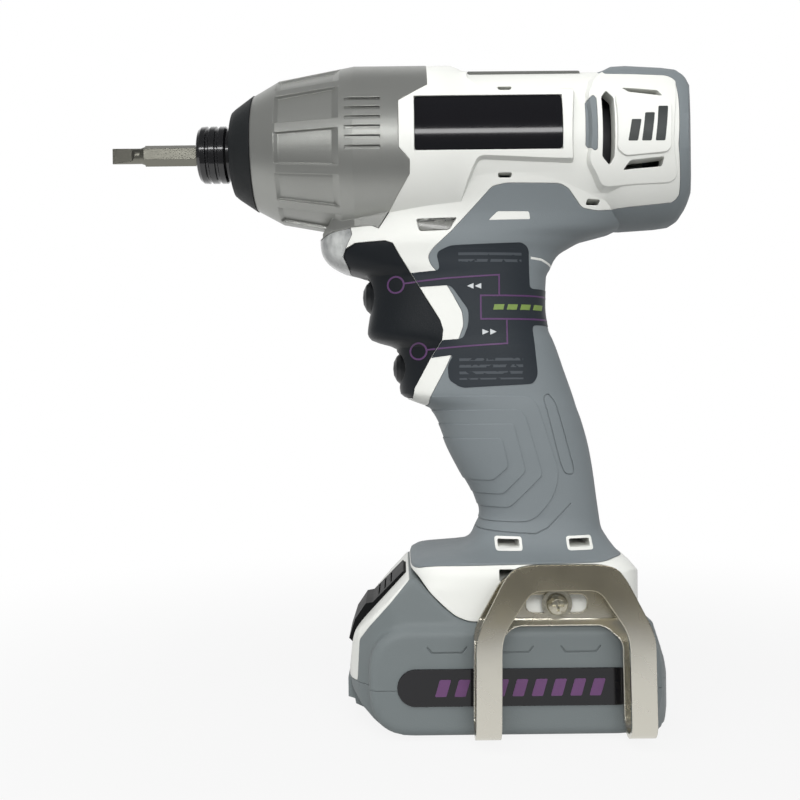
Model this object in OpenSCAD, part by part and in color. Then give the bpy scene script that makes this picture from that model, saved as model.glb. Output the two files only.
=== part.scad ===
// Cordless impact driver with a slide-on battery, two finger pads and a belt hook.
// The origin is the centre of the battery's flat base. +Z is up, the bit points to -X
// and the two housing shells meet at Y = 0.

/* [Heights] */
// Height of the battery under the foot
battery_h = 37; // [36:0.5:42]
// Height of the foot above the battery
foot_h = 20; // [19:0.5:23]
// Length of the grip from the foot to the trigger bezel
grip_h = 51; // [47:1:58]
// Height of the trigger bezel
trigger_h = 53; // [52:0.5:57]
// Height of the neck between the trigger bezel and the hammer case
neck_gap = 4.5; // [4:0.1:5.5]

/* [Head] */
// Radius of the hammer case and of the shell's front
case_r = 29; // [28.5:0.25:31]
// Length of the hammer case from its face to the gear plate
case_len = 65; // [65:0.5:70]
// Radius of the shell around the motor
waist_r = 26.3; // [26:0.1:27.5]
// Radius of the soft bumper at the rear
bumper_r = 28.2; // [27.8:0.1:29]
// Length of the motor can
motor_len = 46; // [44:1:50]
// Room behind the motor for its end bell and the rear wall
rear_room = 34.3; // [32:0.1:38]
// Radius of the motor can
motor_r = 18.5; // [17.5:0.1:19.5]

/* [Shell] */
// Thickness of the hard shell under the soft skin
wall = 2.5; // [2.2:0.1:2.8]
// Thickness of the soft skin
skin = 1.5; // [1.2:0.1:1.8]
// Width of the handle
handle_w = 34; // [33:0.5:38]
// Width of the foot
foot_w = 62; // [60:0.5:64]

/* [Bit holder] */
// Hex size of the bit over its flats
bit_hex = 6.35; // [6.2:0.01:6.4]
// Length of the bit
bit_len = 50; // [48:1:75]
// Width of the bit's slotted tip
tip_w = 5.3; // [4.5:0.1:5.8]
// Outer radius of the bit sleeve
sleeve_r = 9.8; // [9.4:0.1:10.2]
// Radius of the anvil shaft
anvil_r = 6.5; // [6.4:0.05:6.6]
// Travel of the sleeve towards the bit
sleeve_travel = 2.2; // [1.8:0.1:2.4]

/* [Impact train] */
// Wall of the hammer case with the room around the hammer
hammer_room = 7; // [6.4:0.1:8]
// Travel of the hammer as it cams back
hammer_travel = 7; // [5:0.5:7.5]
// Radius of the cam spindle
spindle_r = 7.2; // [6.8:0.1:7.4]
// Number of planet gears
planets = 3; // [3:3]
// Teeth on the sun pinion
sun_teeth = 12; // [12:12]
// Teeth on each planet gear
planet_teeth = 24; // [24:24]

/* [Pads] */
// Radius of the forward pad
forward_r = 6.9; // [6.5:0.1:7.2]
// Radius of the reverse pad
reverse_r = 6.5; // [6:0.1:6.8]
// Travel of both pads
pad_travel = 2.5; // [2:0.1:3]

/* [Battery] */
// Length of the battery
battery_l = 108; // [106:0.5:112]
// Width of the battery
battery_w = 66.8; // [66:0.2:68]
// Wall of the battery case
battery_wall = 2.2; // [1.8:0.1:2.6]
// Radius of one cell
cell_r = 9.2; // [9:0.05:9.3]
// Length of one cell
cell_len = 65; // [64:0.5:68]
// Travel of the battery's release latch
latch_travel = 2; // [1.5:0.1:2.2]

/* [Belt hook] */
// Thickness of the hook's steel strip
hook_t = 1.6; // [1.4:0.1:1.8]
// Width over the two legs of the hook
hook_w = 56; // [53:0.5:58]
// Height of the hook above the battery's base
hook_low = 4.5; // [3:0.5:7]
// Gap between the hook's two layers for the belt
belt_gap = 8; // [6:0.25:10]
// Radius of the hook screw's thread
screw_r = 2; // [1.9:0.05:2.1]

/* [Hidden] */
// Clearance between parts that turn or slide on each other
run = 0.05;
// Clearance between parts that move past each other
gap = 0.3;
// Facets of a whole circle on the moulded shells
shell_fn = 44;
// Points around one section of the grip
section_points = 20;

foot_top = battery_h + foot_h;
trigger_z = foot_top + grip_h;
trigger_top = trigger_z + trigger_h;
axis_z = trigger_top + neck_gap + case_r;
half_w = handle_w / 2;
half_foot = foot_w / 2;
case_inner_r = case_r - 5.5;
hammer_r = case_r - hammer_room;
// Gear module that leaves the ring gear the same share of the hammer case
gear_m = 0.6 * case_inner_r / 23.5;
case_x = -85;
plate_x = case_x + case_len;
plate_t = 4.5;
motor_x = plate_x + 6;
motor_end = motor_x + motor_len;
rear_x = motor_end + rear_room;
far = 200;

// Shapes that many parts share

// Turned solid about the output axis, from points given as [place along X, radius]
module turned(points, fn = 96, angle = 360)
    translate([0, 0, axis_z])
        rotate([0, 90, 0])
            rotate_extrude($fn = fn, angle = angle)
                polygon([for (p = points) [p[1], p[0]]]);

// Round bar along the output axis
module bar(x0, x1, r, fn = 64)
    translate([x0, 0, axis_z])
        rotate([0, 90, 0])
            cylinder(h = x1 - x0, r = r, $fn = fn);

// Tube along the output axis
module tube(x0, x1, r_out, r_in, fn = 64)
    difference() {
        bar(x0, x1, r_out, fn);
        bar(x0 - 1, x1 + 1, r_in, fn);
    }

// Side view outline pulled across the tool between two Y values
module side_cut(points, y0 = -far, y1 = far)
    translate([0, y1, 0])
        rotate([90, 0, 0])
            linear_extrude(height = y1 - y0)
                polygon(points);

// Block from its two corners
module block(low, high)
    translate(low)
        cube(high - low);

// Stadium outline along its first axis
module stadium(length, r)
    hull() {
        translate([r - length / 2, 0]) circle(r = r, $fn = 16);
        translate([length / 2 - r, 0]) circle(r = r, $fn = 16);
    }

// Outline through the corners given, each rounded to radius r
module soft_outline(points, r)
    hull()
        for (p = points)
            translate(p) circle(r = r, $fn = 12);

// Soft outline pulled across the tool
module soft_cut(points, r, y0 = -far, y1 = far)
    translate([0, y1, 0])
        rotate([90, 0, 0])
            linear_extrude(height = y1 - y0)
                soft_outline(points, r);

// Solid over a list of rings that each have the same number of points
module lofted(rings) {
    n = len(rings[0]);
    m = len(rings);
    sides = [for (i = [0:m - 2], k = [0:n - 1])
        let (a = i * n + k, b = i * n + (k + 1) % n)
            each [[a, b, b + n], [a, b + n, a + n]]];
    ends = [[for (k = [n - 1:-1:0]) k], [for (k = [0:n - 1]) (m - 1) * n + k]];
    polyhedron(points = [for (ring = rings) each ring],
        faces = [for (f = concat(sides, ends)) [for (k = [len(f) - 1:-1:0]) f[k]]], convexity = 6);
}

// One level section: an oval from x0 to x1 that gets squarer as n grows
function oval(z, x0, x1, w, n) = [for (k = [0:section_points - 1])
    let (a = 360 * (k + 0.5) / section_points, c = cos(a), s = sin(a))
        [(x0 + x1) / 2 + (x1 - x0) / 2 * sign(c) * pow(abs(c), 2 / n),
            w * sign(s) * pow(abs(s), 2 / n), z]];

// Helical spring of round wire along +X from x0 to x1, about the output axis moved to z
function coil(x0, x1, r, wire, turns, z) =
    let (steps = 8 * turns, run_x = x1 - x0 - 2 * wire)
        [for (i = [0:steps]) let (a = 360 * i / 8) [for (k = [0:5]) let (b = 60 * k)
            [x0 + wire + run_x * i / steps + wire * sin(b),
                (r + wire * cos(b)) * cos(a), z + (r + wire * cos(b)) * sin(a)]]];

// The grip body: foot, handle, finger side and neck as one lofted form

// Height in the grip and in the trigger bezel, as a share of each
function at_grip(share) = foot_top + share * grip_h;
function at_trigger(share) = trigger_z + share * trigger_h;

// Sections as [height, front, rear, half width, squareness]
foot_sections = [
    [battery_h - 1, -33.5, 44.8, half_foot, 7],
    [foot_top - 10.3, -33.5, 44.6, half_foot, 7],
    [foot_top - 6.5, -33.5, 42.7, half_foot - 0.2, 6],
    [foot_top - 2.2, -32.7, 39, half_foot - 1.2, 6],
    [foot_top - 0.8, -31.3, 37.8, half_foot - 2, 5],
    [foot_top + 1, -19, 36.4, half_w + 7.4, 3.7],
    [foot_top + 3.6, -12, 34.8, half_w + 3, 3],
    [foot_top + 7, -10.2, 33, half_w + 0.8, 2.7]];
grip_sections = [
    [at_grip(0.23), -8.5, 32.4, half_w - 0.1, 2.5],
    [at_grip(0.36), -10.2, 31.6, half_w - 0.2, 2.4],
    [at_grip(0.68), -18.7, 29.2, half_w + 0.2, 2.4],
    [at_grip(0.86), -22.3, 26.7, half_w + 0.4, 2.5],
    [at_grip(0.95), -25.4, 25.1, half_w + 0.5, 2.5],
    [at_grip(0.985), -30, 24.6, half_w + 0.5, 2.5]];
finger_sections = [
    [at_trigger(0.045), -36.3, 23.6, half_w + 0.5, 2.5],
    [at_trigger(0.34), -37.6, 18.3, half_w + 0.2, 2.5],
    [at_trigger(0.4), -46.3, 17, half_w, 2.6],
    [at_trigger(0.44), -47.6, 16, half_w, 2.6],
    [at_trigger(0.6), -46.6, 14.8, half_w, 2.6],
    [at_trigger(0.8), -47.6, 15.3, half_w + 0.2, 2.6],
    [at_trigger(0.845), -55.6, 16.6, half_w + 0.5, 2.6],
    [at_trigger(0.905), -60.8, 18.1, half_w + 0.8, 2.6],
    [at_trigger(0.98), -63, 22.5, half_w + 1.4, 2.6]];
neck_sections = [
    [trigger_top + 2.2, -63.4, 28, half_w + 1.6, 2.6],
    [trigger_top + 4.5, -62, 38, half_w + 1.6, 2.6],
    [trigger_top + 8.5, -58.4, 44.6, half_w + 1.9, 2.6],
    [trigger_top + 15, -50, 48, half_w + 3.6, 2.6]];
body_sections = concat(foot_sections, grip_sections, finger_sections, neck_sections);

// The sections drawn in by d, which also lowers the shelves of the foot. Taking every
// second one is enough for the room inside.
module grip_body(d = 0, every = 1)
    lofted([for (k = [0:every:len(body_sections) - 1]) let (s = body_sections[k])
        oval(s[0] - (s[0] < foot_top + 8 ? d : 0), s[1] + d, s[2] - d, s[3] - d, s[4])]);

// Outline of the head as [place along X, radius], drawn in by d
function head_outline(d) = [
    [plate_x - 30, 0], [plate_x - 30, case_r - d], [plate_x + 3, case_r - d],
    [plate_x + 10, waist_r - d], [rear_x - 33, waist_r - d], [rear_x - 29, bumper_r - d],
    [rear_x - 5.5, bumper_r - 0.6 - d], [rear_x - 3 - d / 2, bumper_r - 2.2 - d],
    [rear_x - 1.6 - d, 0.68 * bumper_r], [rear_x - 0.4 - d, 0.38 * bumper_r], [rear_x - d, 0]];

// Raised field around the label, and the raised field around the rear vents
label_field = [[plate_x, axis_z + 14.5], [plate_x + 42, axis_z + 14.5], [plate_x + 42, axis_z - 12],
    [plate_x + 10, axis_z - 9], [plate_x, axis_z - 15]];
vent_field = [[plate_x + 45, axis_z + 13], [plate_x + 49, axis_z + 19], [plate_x + 74, axis_z + 17],
    [plate_x + 74, axis_z - 17.5], [plate_x + 50, axis_z - 17.5], [plate_x + 45, axis_z - 11]];

// Whole outer form of the tool without the hammer case, drawn in by d
module tool_form(d = 0) {
    grip_body(d);
    turned(head_outline(d), shell_fn);
    intersection() {
        turned([[plate_x, 0], [plate_x, case_r - 0.6 - d], [rear_x - 9, case_r - 1 - d], [rear_x - 9, 0]],
            shell_fn);
        union() {
            side_cut(label_field);
            side_cut(vent_field);
        }
    }
}

// Boundaries seen from the side

// Everything in front of the line where hammer case and shell meet
case_line = [[plate_x - 6, axis_z + 40], [plate_x - 6, axis_z + 16.6], [plate_x - 15.5, axis_z + 10.6],
    [plate_x - 15.5, axis_z - 4.8], [plate_x - 12, axis_z - 8.6], [plate_x - 12, axis_z - 13],
    [plate_x - 22.4, axis_z - 29]];
// Floor of the cowl that the case holds over the lamp
cowl_floor = [[plate_x - 25, trigger_top + 5.6], [-51.8, trigger_top + 5.5], [-59.3, trigger_top + 4.5],
    [-62.5, trigger_top + 3]];
case_zone = concat(case_line, cowl_floor, [[plate_x - 60, trigger_top + 2], [plate_x - 60, axis_z + 40]]);

// Lens in front of the finger side, below the hammer case
lens_zone = [[-70, trigger_top + 1.5], [-62.3, trigger_top + 3], [-59.5, trigger_top + 4.4],
    [-52, trigger_top + 5.4], [-51.4, trigger_top + 3], [-53.6, at_trigger(0.97)],
    [-54.6, at_trigger(0.92)], [-52.6, at_trigger(0.84)], [-53, at_trigger(0.797)], [-70, at_trigger(0.797)]];

// Trigger bezel in front of the white band
bezel_zone = [[-50.5, trigger_top], [-40.4, trigger_top], [-37.8, at_trigger(0.99)],
    [-35.5, at_trigger(0.913)], [-28.9, at_trigger(0.71)], [-22.3, at_trigger(0.506)],
    [-21.3, at_trigger(0.443)], [-21.7, at_trigger(0.38)], [-25.1, at_trigger(0.28)],
    [-30.9, at_trigger(0.08)], [-31.6, at_trigger(0.012)], [-60, at_trigger(0.012)],
    [-60, at_trigger(0.797)], [-53, at_trigger(0.797)], [-52.6, at_trigger(0.84)],
    [-54.6, at_trigger(0.92)], [-53.6, at_trigger(0.97)]];

// Soft skin: neck and lower head, rear bumper, handle and flare
skin_zone = [[-60, foot_top - 2.6], [-31, foot_top - 2.6], [-28, foot_top - 1.2], [-24, foot_top - 0.93],
    [28, foot_top - 0.93], [34, foot_top - 0.15], [60, foot_top - 0.15], [60, axis_z - 60],
    [rear_x + 10, axis_z - 40], [rear_x + 10, axis_z + 40], [rear_x - 34, axis_z + 40],
    [rear_x - 34, axis_z + 21], [rear_x - 12, axis_z + 18.9], [rear_x - 10.4, axis_z + 17.5],
    [rear_x - 9.4, axis_z + 11.7], [rear_x - 8.3, axis_z - 5], [rear_x - 9.5, axis_z - 20],
    [rear_x - 11, axis_z - 21.3], [rear_x - 36, axis_z - 23.7], [rear_x - 41, axis_z - 23],
    [rear_x - 46, axis_z - 17], [rear_x - 49, axis_z - 15.6], [plate_x + 19.5, axis_z - 15.4],
    [plate_x + 15, axis_z - 16.4], [plate_x + 11, axis_z - 20.6], [plate_x + 1, axis_z - 31],
    [-24.5, at_trigger(0.955)], [-26.2, at_trigger(0.908)], [-25.5, at_trigger(0.855)],
    [-23.2, at_trigger(0.806)], [-18.9, at_trigger(0.704)], [-13.2, at_trigger(0.532)],
    [-12.9, at_trigger(0.47)], [-15.1, at_trigger(0.375)], [-20.9, at_trigger(0.194)],
    [-26, at_trigger(0.015)], [-26.2, at_grip(0.965)], [-60, at_grip(0.965)]];

// Edge of the battery under the foot, at a distance d from the battery itself
function dock_line(d) = [[-60, foot_top - 3.2 + d], [-33.1, foot_top - 4.2 + d], [-31 + d, foot_top - 5.8],
    [-27 + d, foot_top - 11], [-22.4 + d, foot_top - 15.4], [-19 + d, foot_top - 18],
    [-15, battery_h + d], [far, battery_h + d]];

// Places of the screws that hold the two shells together, as [x, z]
screw_places = [[-33.4, trigger_top + 2.35], [8, at_trigger(0.84)], [rear_x - 11, axis_z + 17],
    [rear_x - 11, axis_z - 17], [20, at_grip(0.66)], [11, at_grip(0.25)],
    [-23.3, foot_top - 6.3], [38, foot_top - 13.2]];
boss_r = 3.2;
screw_shank_r = 1.5;
screw_head_r = 2.8;

hook_x = 13;
hook_z = battery_h + 6;

// Bar, slots and line where the hard shell shows through the soft skin
bar_corners = [[-3.4, trigger_top + 6.6], [-1.4, trigger_top + 7.7], [6.4, trigger_top + 7.7],
    [6.4, trigger_top + 6.6]];
line_points = [[8.5, at_trigger(0.9)], [14, at_trigger(0.885)], [22, at_trigger(0.85)],
    [22, at_trigger(0.83)], [14, at_trigger(0.868)], [8.5, at_trigger(0.885)]];
strap_slots = [-1.3, 22];
strap_z = foot_top + 3.85;

module strap_slot(x, grow, y0 = -far, y1 = far)
    translate([x, y1, strap_z])
        rotate([90, 0, 0])
            linear_extrude(height = y1 - y0)
                stadium(8.4 + 2 * grow, 1.4 + grow);

// Skin fields where the hard shell stays flush with the skin
module shown_shell() {
    soft_cut(bar_corners, 0.5);
    side_cut(line_points);
    for (x = strap_slots)
        strap_slot(x, 0.9);
}

module skin_cut()
    difference() {
        side_cut(skin_zone);
        shown_shell();
    }

// Vents at the rear and small openings, cut through both shells
module vents() {
    // Tall vent beside the rear plate
    soft_cut([[plate_x + 51, axis_z + 11.5], [plate_x + 52.2, axis_z + 13], [plate_x + 53.4, axis_z + 11.5],
        [plate_x + 53.4, axis_z - 8.5], [plate_x + 52.2, axis_z - 10.5], [plate_x + 51, axis_z - 8.5]], 0.8);
    // Slots above and below the rear plate
    soft_cut([[plate_x + 58, axis_z + 14.4], [plate_x + 60, axis_z + 13], [plate_x + 69, axis_z + 12.2],
        [plate_x + 68.5, axis_z + 13.4]], 0.5);
    soft_cut([[plate_x + 58, axis_z - 12.4], [plate_x + 60.5, axis_z - 9.8], [plate_x + 69.5, axis_z - 9.2],
        [plate_x + 69, axis_z - 11.4]], 0.5);
    // Openings beside the label and the neck window
    soft_cut([[plate_x + 17.6, axis_z + 16], [plate_x + 21.4, axis_z + 16]], 0.7);
    soft_cut([[plate_x + 17.4, axis_z - 13], [plate_x + 21, axis_z - 13]], 0.7);
    soft_cut([[plate_x + 47, axis_z - 21.6], [plate_x + 50.5, axis_z - 21]], 0.8);
    soft_cut([[-29, trigger_top + 3.1], [-29, trigger_top + 5], [-19.4, trigger_top + 5.2],
        [-21, trigger_top + 3.3]], 0.8);
    // Strap slots through the flare of the foot
    for (x = strap_slots)
        strap_slot(x, 0);
}

// Rail channel in the foot's floor that takes the battery's rail block
rail_lip_w = 14.4;
rail_w = 17;
rail_lip_h = 3;
rail_h = 7.6;
rail_end = 31;
module rail_channel() {
    block([-60, -rail_lip_w, battery_h - 2], [rail_end, rail_lip_w, battery_h + rail_lip_h]);
    block([-60, -rail_w, battery_h + rail_lip_h - 0.01], [rail_end, rail_w, battery_h + rail_h]);
}

// Both shells in one piece, split later at Y = 0
module whole_shell() {
    difference() {
        union() {
            tool_form(skin);
            difference() {
                tool_form(0);
                skin_cut();
            }
        }
        // Room inside: neck and handle, motor, and the hammer case's rear
        difference() {
            grip_body(skin + wall, 2);
            block([-far, -far, -far], [far, far, battery_h + 3]);
            block([-far, -rail_w - 2, -far], [far, rail_w + 2, battery_h + rail_h + 2]);
            side_cut([[-60, foot_top - 16], [-29, foot_top - 7], [-27.5, foot_top - 11.8],
                [-22, foot_top - 14.4], [-12, battery_h + 1], [-60, battery_h - 5]]);
        }
        turned([[plate_x - 31, 0], [plate_x - 31, case_r - 3.4], [plate_x + plate_t, case_r - 3.4],
            [plate_x + plate_t, waist_r - skin - wall], [rear_x - 7, waist_r - skin - wall],
            [rear_x - 5.4, 0]], shell_fn);
        side_cut(case_zone);
        side_cut(lens_zone);
        side_cut(bezel_zone);
        side_cut(concat(dock_line(0.25), [[far, -10], [-60, -10]]));
        rail_channel();
        vents();
        label_recess();
        for (side = [0, 1])
            mirror([0, side, 0])
                translate([hook_x, -half_foot - 1, hook_z])
                    rotate([-90, 0, 0])
                        cylinder(h = 9, r = 3.15, $fn = 20);
    }
    // Bosses behind the hook inserts
    for (side = [0, 1])
        mirror([0, side, 0])
            translate([hook_x, -half_foot + 2, hook_z])
                rotate([-90, 0, 0])
                    difference() {
                        cylinder(h = 6, r = 5, $fn = 20);
                        translate([0, 0, -0.01]) cylinder(h = 6.02, r = 3.15, $fn = 20);
                    }
}

// Screw bosses between the two shells
module boss_half(outer_y)
    for (p = screw_places)
        translate([p[0], 0, p[1]])
            rotate([90, 0, 0])
                cylinder(h = outer_y, r = boss_r, $fn = 12);

module screw_holes(depth)
    for (p = screw_places)
        translate([p[0], 0.01, p[1]])
            rotate([90, 0, 0])
                cylinder(h = depth, r = screw_shank_r + 0.15, $fn = 12);

module housing_left()
    color([0.87, 0.87, 0.85])
        difference() {
            union() {
                intersection() {
                    whole_shell();
                    block([-far, -far, 0], [far, 0, far + 100]);
                }
                intersection() {
                    boss_half(40);
                    difference() {
                        tool_form(skin + 0.5);
                        side_cut(case_zone);
                    }
                }
            }
            screw_holes(11);
        }

module housing_right()
    color([0.87, 0.87, 0.85])
        difference() {
            union() {
                intersection() {
                    whole_shell();
                    block([-far, 0, 0], [far, far, far + 100]);
                }
                intersection() {
                    mirror([0, 1, 0]) boss_half(40);
                    difference() {
                        tool_form(skin + 0.5);
                        side_cut(case_zone);
                    }
                }
            }
            mirror([0, 1, 0]) screw_holes(41);
            for (p = screw_places)
                translate([p[0], 5, p[1]])
                    rotate([-90, 0, 0])
                        cylinder(h = 40, r = screw_head_r + 0.3, $fn = 12);
        }

// Nested contour grooves moulded into the side of the handle, open to the front
module contour(grow)
    side_ring([[-40, at_grip(0.75) + grow], [-2.8 + 0.7 * grow, at_grip(0.75) + grow],
        [1.2 * grow, at_grip(0.57)], [-3 + 0.3 * grow, at_grip(0.49) - grow],
        [-40, at_grip(0.49) - grow]]);

module side_ring(points)
    translate([0, far, 0])
        rotate([90, 0, 0])
            linear_extrude(height = 2 * far)
                difference() {
                    polygon(points);
                    offset(delta = -0.7) polygon(points);
                }

module whole_skin()
    difference() {
        intersection() {
            tool_form(0);
            skin_cut();
        }
        tool_form(skin);
        top_pad_room();
        for (p = screw_places)
            translate([p[0], 5, p[1]])
                rotate([-90, 0, 0])
                    cylinder(h = 40, r = screw_head_r + 0.3, $fn = 12);
        difference() {
            for (grow = [0, 4.6, 9.1])
                contour(grow);
            tool_form(0.6);
        }
    }

module grip_left()
    color([0.49, 0.52, 0.54])
        intersection() {
            whole_skin();
            block([-far, -far, 0], [far, 0, far + 100]);
        }

module grip_right()
    color([0.49, 0.52, 0.54])
        intersection() {
            whole_skin();
            block([-far, 0, 0], [far, far, far + 100]);
        }

// Soft strip let into the top of the shell
pad_x0 = plate_x + 11;
pad_x1 = rear_x - 40;
module top_pad_room()
    block([pad_x0, -9, axis_z + waist_r - skin - 2], [pad_x1, 9, axis_z + 60]);

module top_pad()
    color([0.36, 0.36, 0.34])
        intersection() {
            difference() {
                bar(pad_x0, pad_x1, waist_r + 0.4, 96);
                bar(pad_x0 - 1, pad_x1 + 1, waist_r + 0.02, 96);
            }
            block([pad_x0, -9, axis_z], [pad_x1, 9, axis_z + 60]);
        }

// Gloss panels let into both sides of the head
panel_x0 = plate_x - 10.5;
panel_x1 = plate_x + 37.5;
panel_z0 = axis_z - 6;
panel_z1 = axis_z + 12.2;
panel_t = 1;
module panel_body(x0, x1, z0, z1, r_in, r_out, fn = 96)
    intersection() {
        tube(x0, x1, r_out, r_in, fn);
        block([x0, -far, z0], [x1, far, z1]);
    }

module label_recess()
    panel_body(panel_x0, panel_x1, panel_z0, panel_z1, case_r - 0.65 - panel_t, case_r + 3, shell_fn);

module label_panels()
    color([0.09, 0.09, 0.11])
        panel_body(panel_x0 + 0.1, panel_x1 - 0.1, panel_z0 + 0.1, panel_z1 - 0.1,
            case_r - 0.6 - panel_t, case_r - 0.5);

// Hammer case: a turned casting with sunk fields between its ribs, finger grooves on both
// sides, a cowl around the lamp and a spigot that the shells clamp
bush_r = anvil_r + 3;
nose_r = bush_r + 3.3;
spigot_r = case_r - 3.6;
rib_angles = [-86, -55, -24, 7, 40, 74];
rib_w = 3.3;
field_depth = 1.2;
field_x0 = case_x + 8.5;
field_x1 = case_x + 30;

function cone_r(x) = x < case_x + 9
    ? case_r - 9.5 + 4.9 * (x - case_x) / 9
    : min(case_r, case_r - 4.6 + 4.6 * (x - case_x - 9) / 25.6);

module case_fields()
    difference() {
        turned([[field_x0, cone_r(field_x0) - 0.01], [field_x0 + 1.5, cone_r(field_x0 + 1.5) - field_depth],
            [field_x1 - 2.2, cone_r(field_x1 - 2.2) - field_depth], [field_x1, cone_r(field_x1)],
            [field_x1, case_r + 5], [field_x0, case_r + 5]]);
        for (side = [0, 1], a = rib_angles)
            mirror([0, side, 0])
                translate([0, 0, axis_z])
                    rotate([-a, 0, 0])
                        block([field_x0 - 1, -far, -rib_w / 2], [field_x1 + 1, 0, rib_w / 2]);
    }

module finger_grooves()
    intersection() {
        tube(plate_x - 33, plate_x - 21.5, case_r + 2, case_r - 0.9, 96);
        for (k = [0:5])
            block([plate_x - 33, -far, axis_z - 5.2 + 3.2 * k], [plate_x - 21.5, far, axis_z - 4.2 + 3.2 * k]);
    }

module case_cowl()
    intersection() {
        translate([0, 0, trigger_top])
            linear_extrude(height = 16)
                polygon([for (p = oval(0, -62.5, 38, half_w + 1.6, 2.6)) [p[0], p[1]]]);
        side_cut(concat([[-62.2, trigger_top + 4.6], [-59.3, trigger_top + 8], [-55.7, trigger_top + 11.3],
            [-51.6, trigger_top + 13.3], [plate_x - 17, trigger_top + 13.3], case_line[6] + [-0.1, 0.2]],
            [for (p = cowl_floor) p + [0, 0.05]]));
    }

module hammer_case()
    color([0.52, 0.52, 0.5])
        difference() {
            union() {
                difference() {
                    turned([[case_x - 5, bush_r], [case_x - 5, nose_r], [case_x, nose_r],
                        [case_x, case_r - 9.5], [case_x + 9, case_r - 4.6], [case_x + 34.6, case_r],
                        [plate_x - 4, case_r], [plate_x - 4, bush_r]]);
                    case_fields();
                    finger_grooves();
                    // Field behind the line where the shells take over
                    difference() {
                        side_cut(concat([for (p = case_line) p - [0.05, 0]],
                            [[plate_x - 22.4, axis_z - 60], [far, axis_z - 60], [far, axis_z + 40]]));
                        bar(-far, far, spigot_r, 96);
                    }
                }
                case_cowl();
                tube(plate_x - 20, plate_x, spigot_r, case_inner_r);
            }
            turned([[case_x - 6, 0], [case_x - 6, bush_r], [case_x + 17.5, bush_r],
                [case_x + 17.5, hammer_r - 2.5], [case_x + 21, case_inner_r], [plate_x + 1, case_inner_r],
                [plate_x + 1, 0]]);
        }

module nose_bumper()
    color([0.15, 0.16, 0.17])
        turned([[case_x - 8, sleeve_r + 0.8], [case_x - 8, 13.2], [case_x - 7.6, 14.4], [case_x - 6.2, 15.6],
            [case_x - 0.05, case_r - 9.2], [case_x - 0.05, nose_r + 0.02], [case_x - 5.1, nose_r + 0.02],
            [case_x - 5.1, sleeve_r + 0.8]]);

module anvil_bush()
    color([0.72, 0.6, 0.35])
        tube(case_x - 5, case_x + 16.5, bush_r, anvil_r + run);

module thrust_washer()
    color([0.3, 0.3, 0.3])
        tube(case_x + 17.5, case_x + 18.5, hammer_r - 3, anvil_r + 0.2);

// Anvil: hex bore in front, two ears behind that the hammer strikes
anvil_front = case_x - 19;
ear_x0 = case_x + 18.7;
ear_x1 = ear_x0 + 6;
ball_x = case_x - 12.5;
ball_r = 1.6;
bit_tip = case_x - 50.5;
bit_end = bit_tip + bit_len;

module hex_bar(x0, x1, flats)
    translate([x0, 0, axis_z])
        rotate([0, 90, 0])
            cylinder(h = x1 - x0, r = flats / sqrt(3), $fn = 6);

module anvil()
    color([0.42, 0.42, 0.43])
        difference() {
            union() {
                bar(anvil_front, ear_x1, anvil_r);
                bar(ear_x0, ear_x1, anvil_r + 3);
                intersection() {
                    bar(ear_x0, ear_x1, hammer_r - 3.2);
                    block([ear_x0, -far, axis_z - 4.5], [ear_x1, far, axis_z + 4.5]);
                }
            }
            hex_bar(anvil_front - 1, bit_end + 0.5, bit_hex + 0.15);
            bar(ear_x1 - 5.7, ear_x1 + 1, 3.5 + run, 48);
            // Ball holes
            for (side = [-1, 1])
                translate([ball_x, 0, axis_z])
                    rotate([90 * side, 0, 0])
                        translate([0, 0, 3])
                            cylinder(h = 5, r = ball_r + 0.05, $fn = 32);
            // Groove for the retaining ring
            tube(anvil_front + 0.4, anvil_front + 1.2, anvil_r + 1, anvil_r - 0.5);
        }

module locking_balls()
    color("silver")
        for (side = [-1, 1])
            translate([ball_x, side * (anvil_r - ball_r - 0.05), axis_z])
                sphere(r = ball_r, $fn = 32);

module retaining_ring()
    color("dimgray")
        tube(anvil_front + 0.4, anvil_front + 1.2, anvil_r + 1.2, anvil_r - 0.5);

// Power bit with a slotted tip and a groove for the collet balls
module screwdriver_bit()
    color([0.5, 0.5, 0.47])
        difference() {
            union() {
                hex_bar(bit_tip + 11.5, bit_end, bit_hex);
                intersection() {
                    turned([[bit_tip, 0], [bit_tip, tip_w / 2], [bit_tip + 10, tip_w / 2],
                        [bit_tip + 11.5, bit_hex / 2], [bit_tip + 12, bit_hex / 2], [bit_tip + 12, 0]], 64);
                    translate([0, 0, axis_z - 10])
                        linear_extrude(height = 20)
                            polygon([[bit_tip, -0.4], [bit_tip + 7, -1.6], [bit_tip + 10, -4],
                                [bit_tip + 13, -4], [bit_tip + 13, 4], [bit_tip + 10, 4],
                                [bit_tip + 7, 1.6], [bit_tip, 0.4]]);
                }
            }
            // Groove and end chamfer
            turned([[ball_x - 2, bit_hex / 2 + 1], [ball_x - 1.2, 2.9], [ball_x + 1.2, 2.9],
                [ball_x + 2, bit_hex / 2 + 1]], 64);
            turned([[bit_end - 0.8, bit_hex / 2 + 1], [bit_end - 0.8, bit_hex / 2 + 0.5],
                [bit_end + 0.1, bit_hex / 2 - 0.3], [bit_end + 0.1, bit_hex / 2 + 1]], 64);
        }

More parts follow.
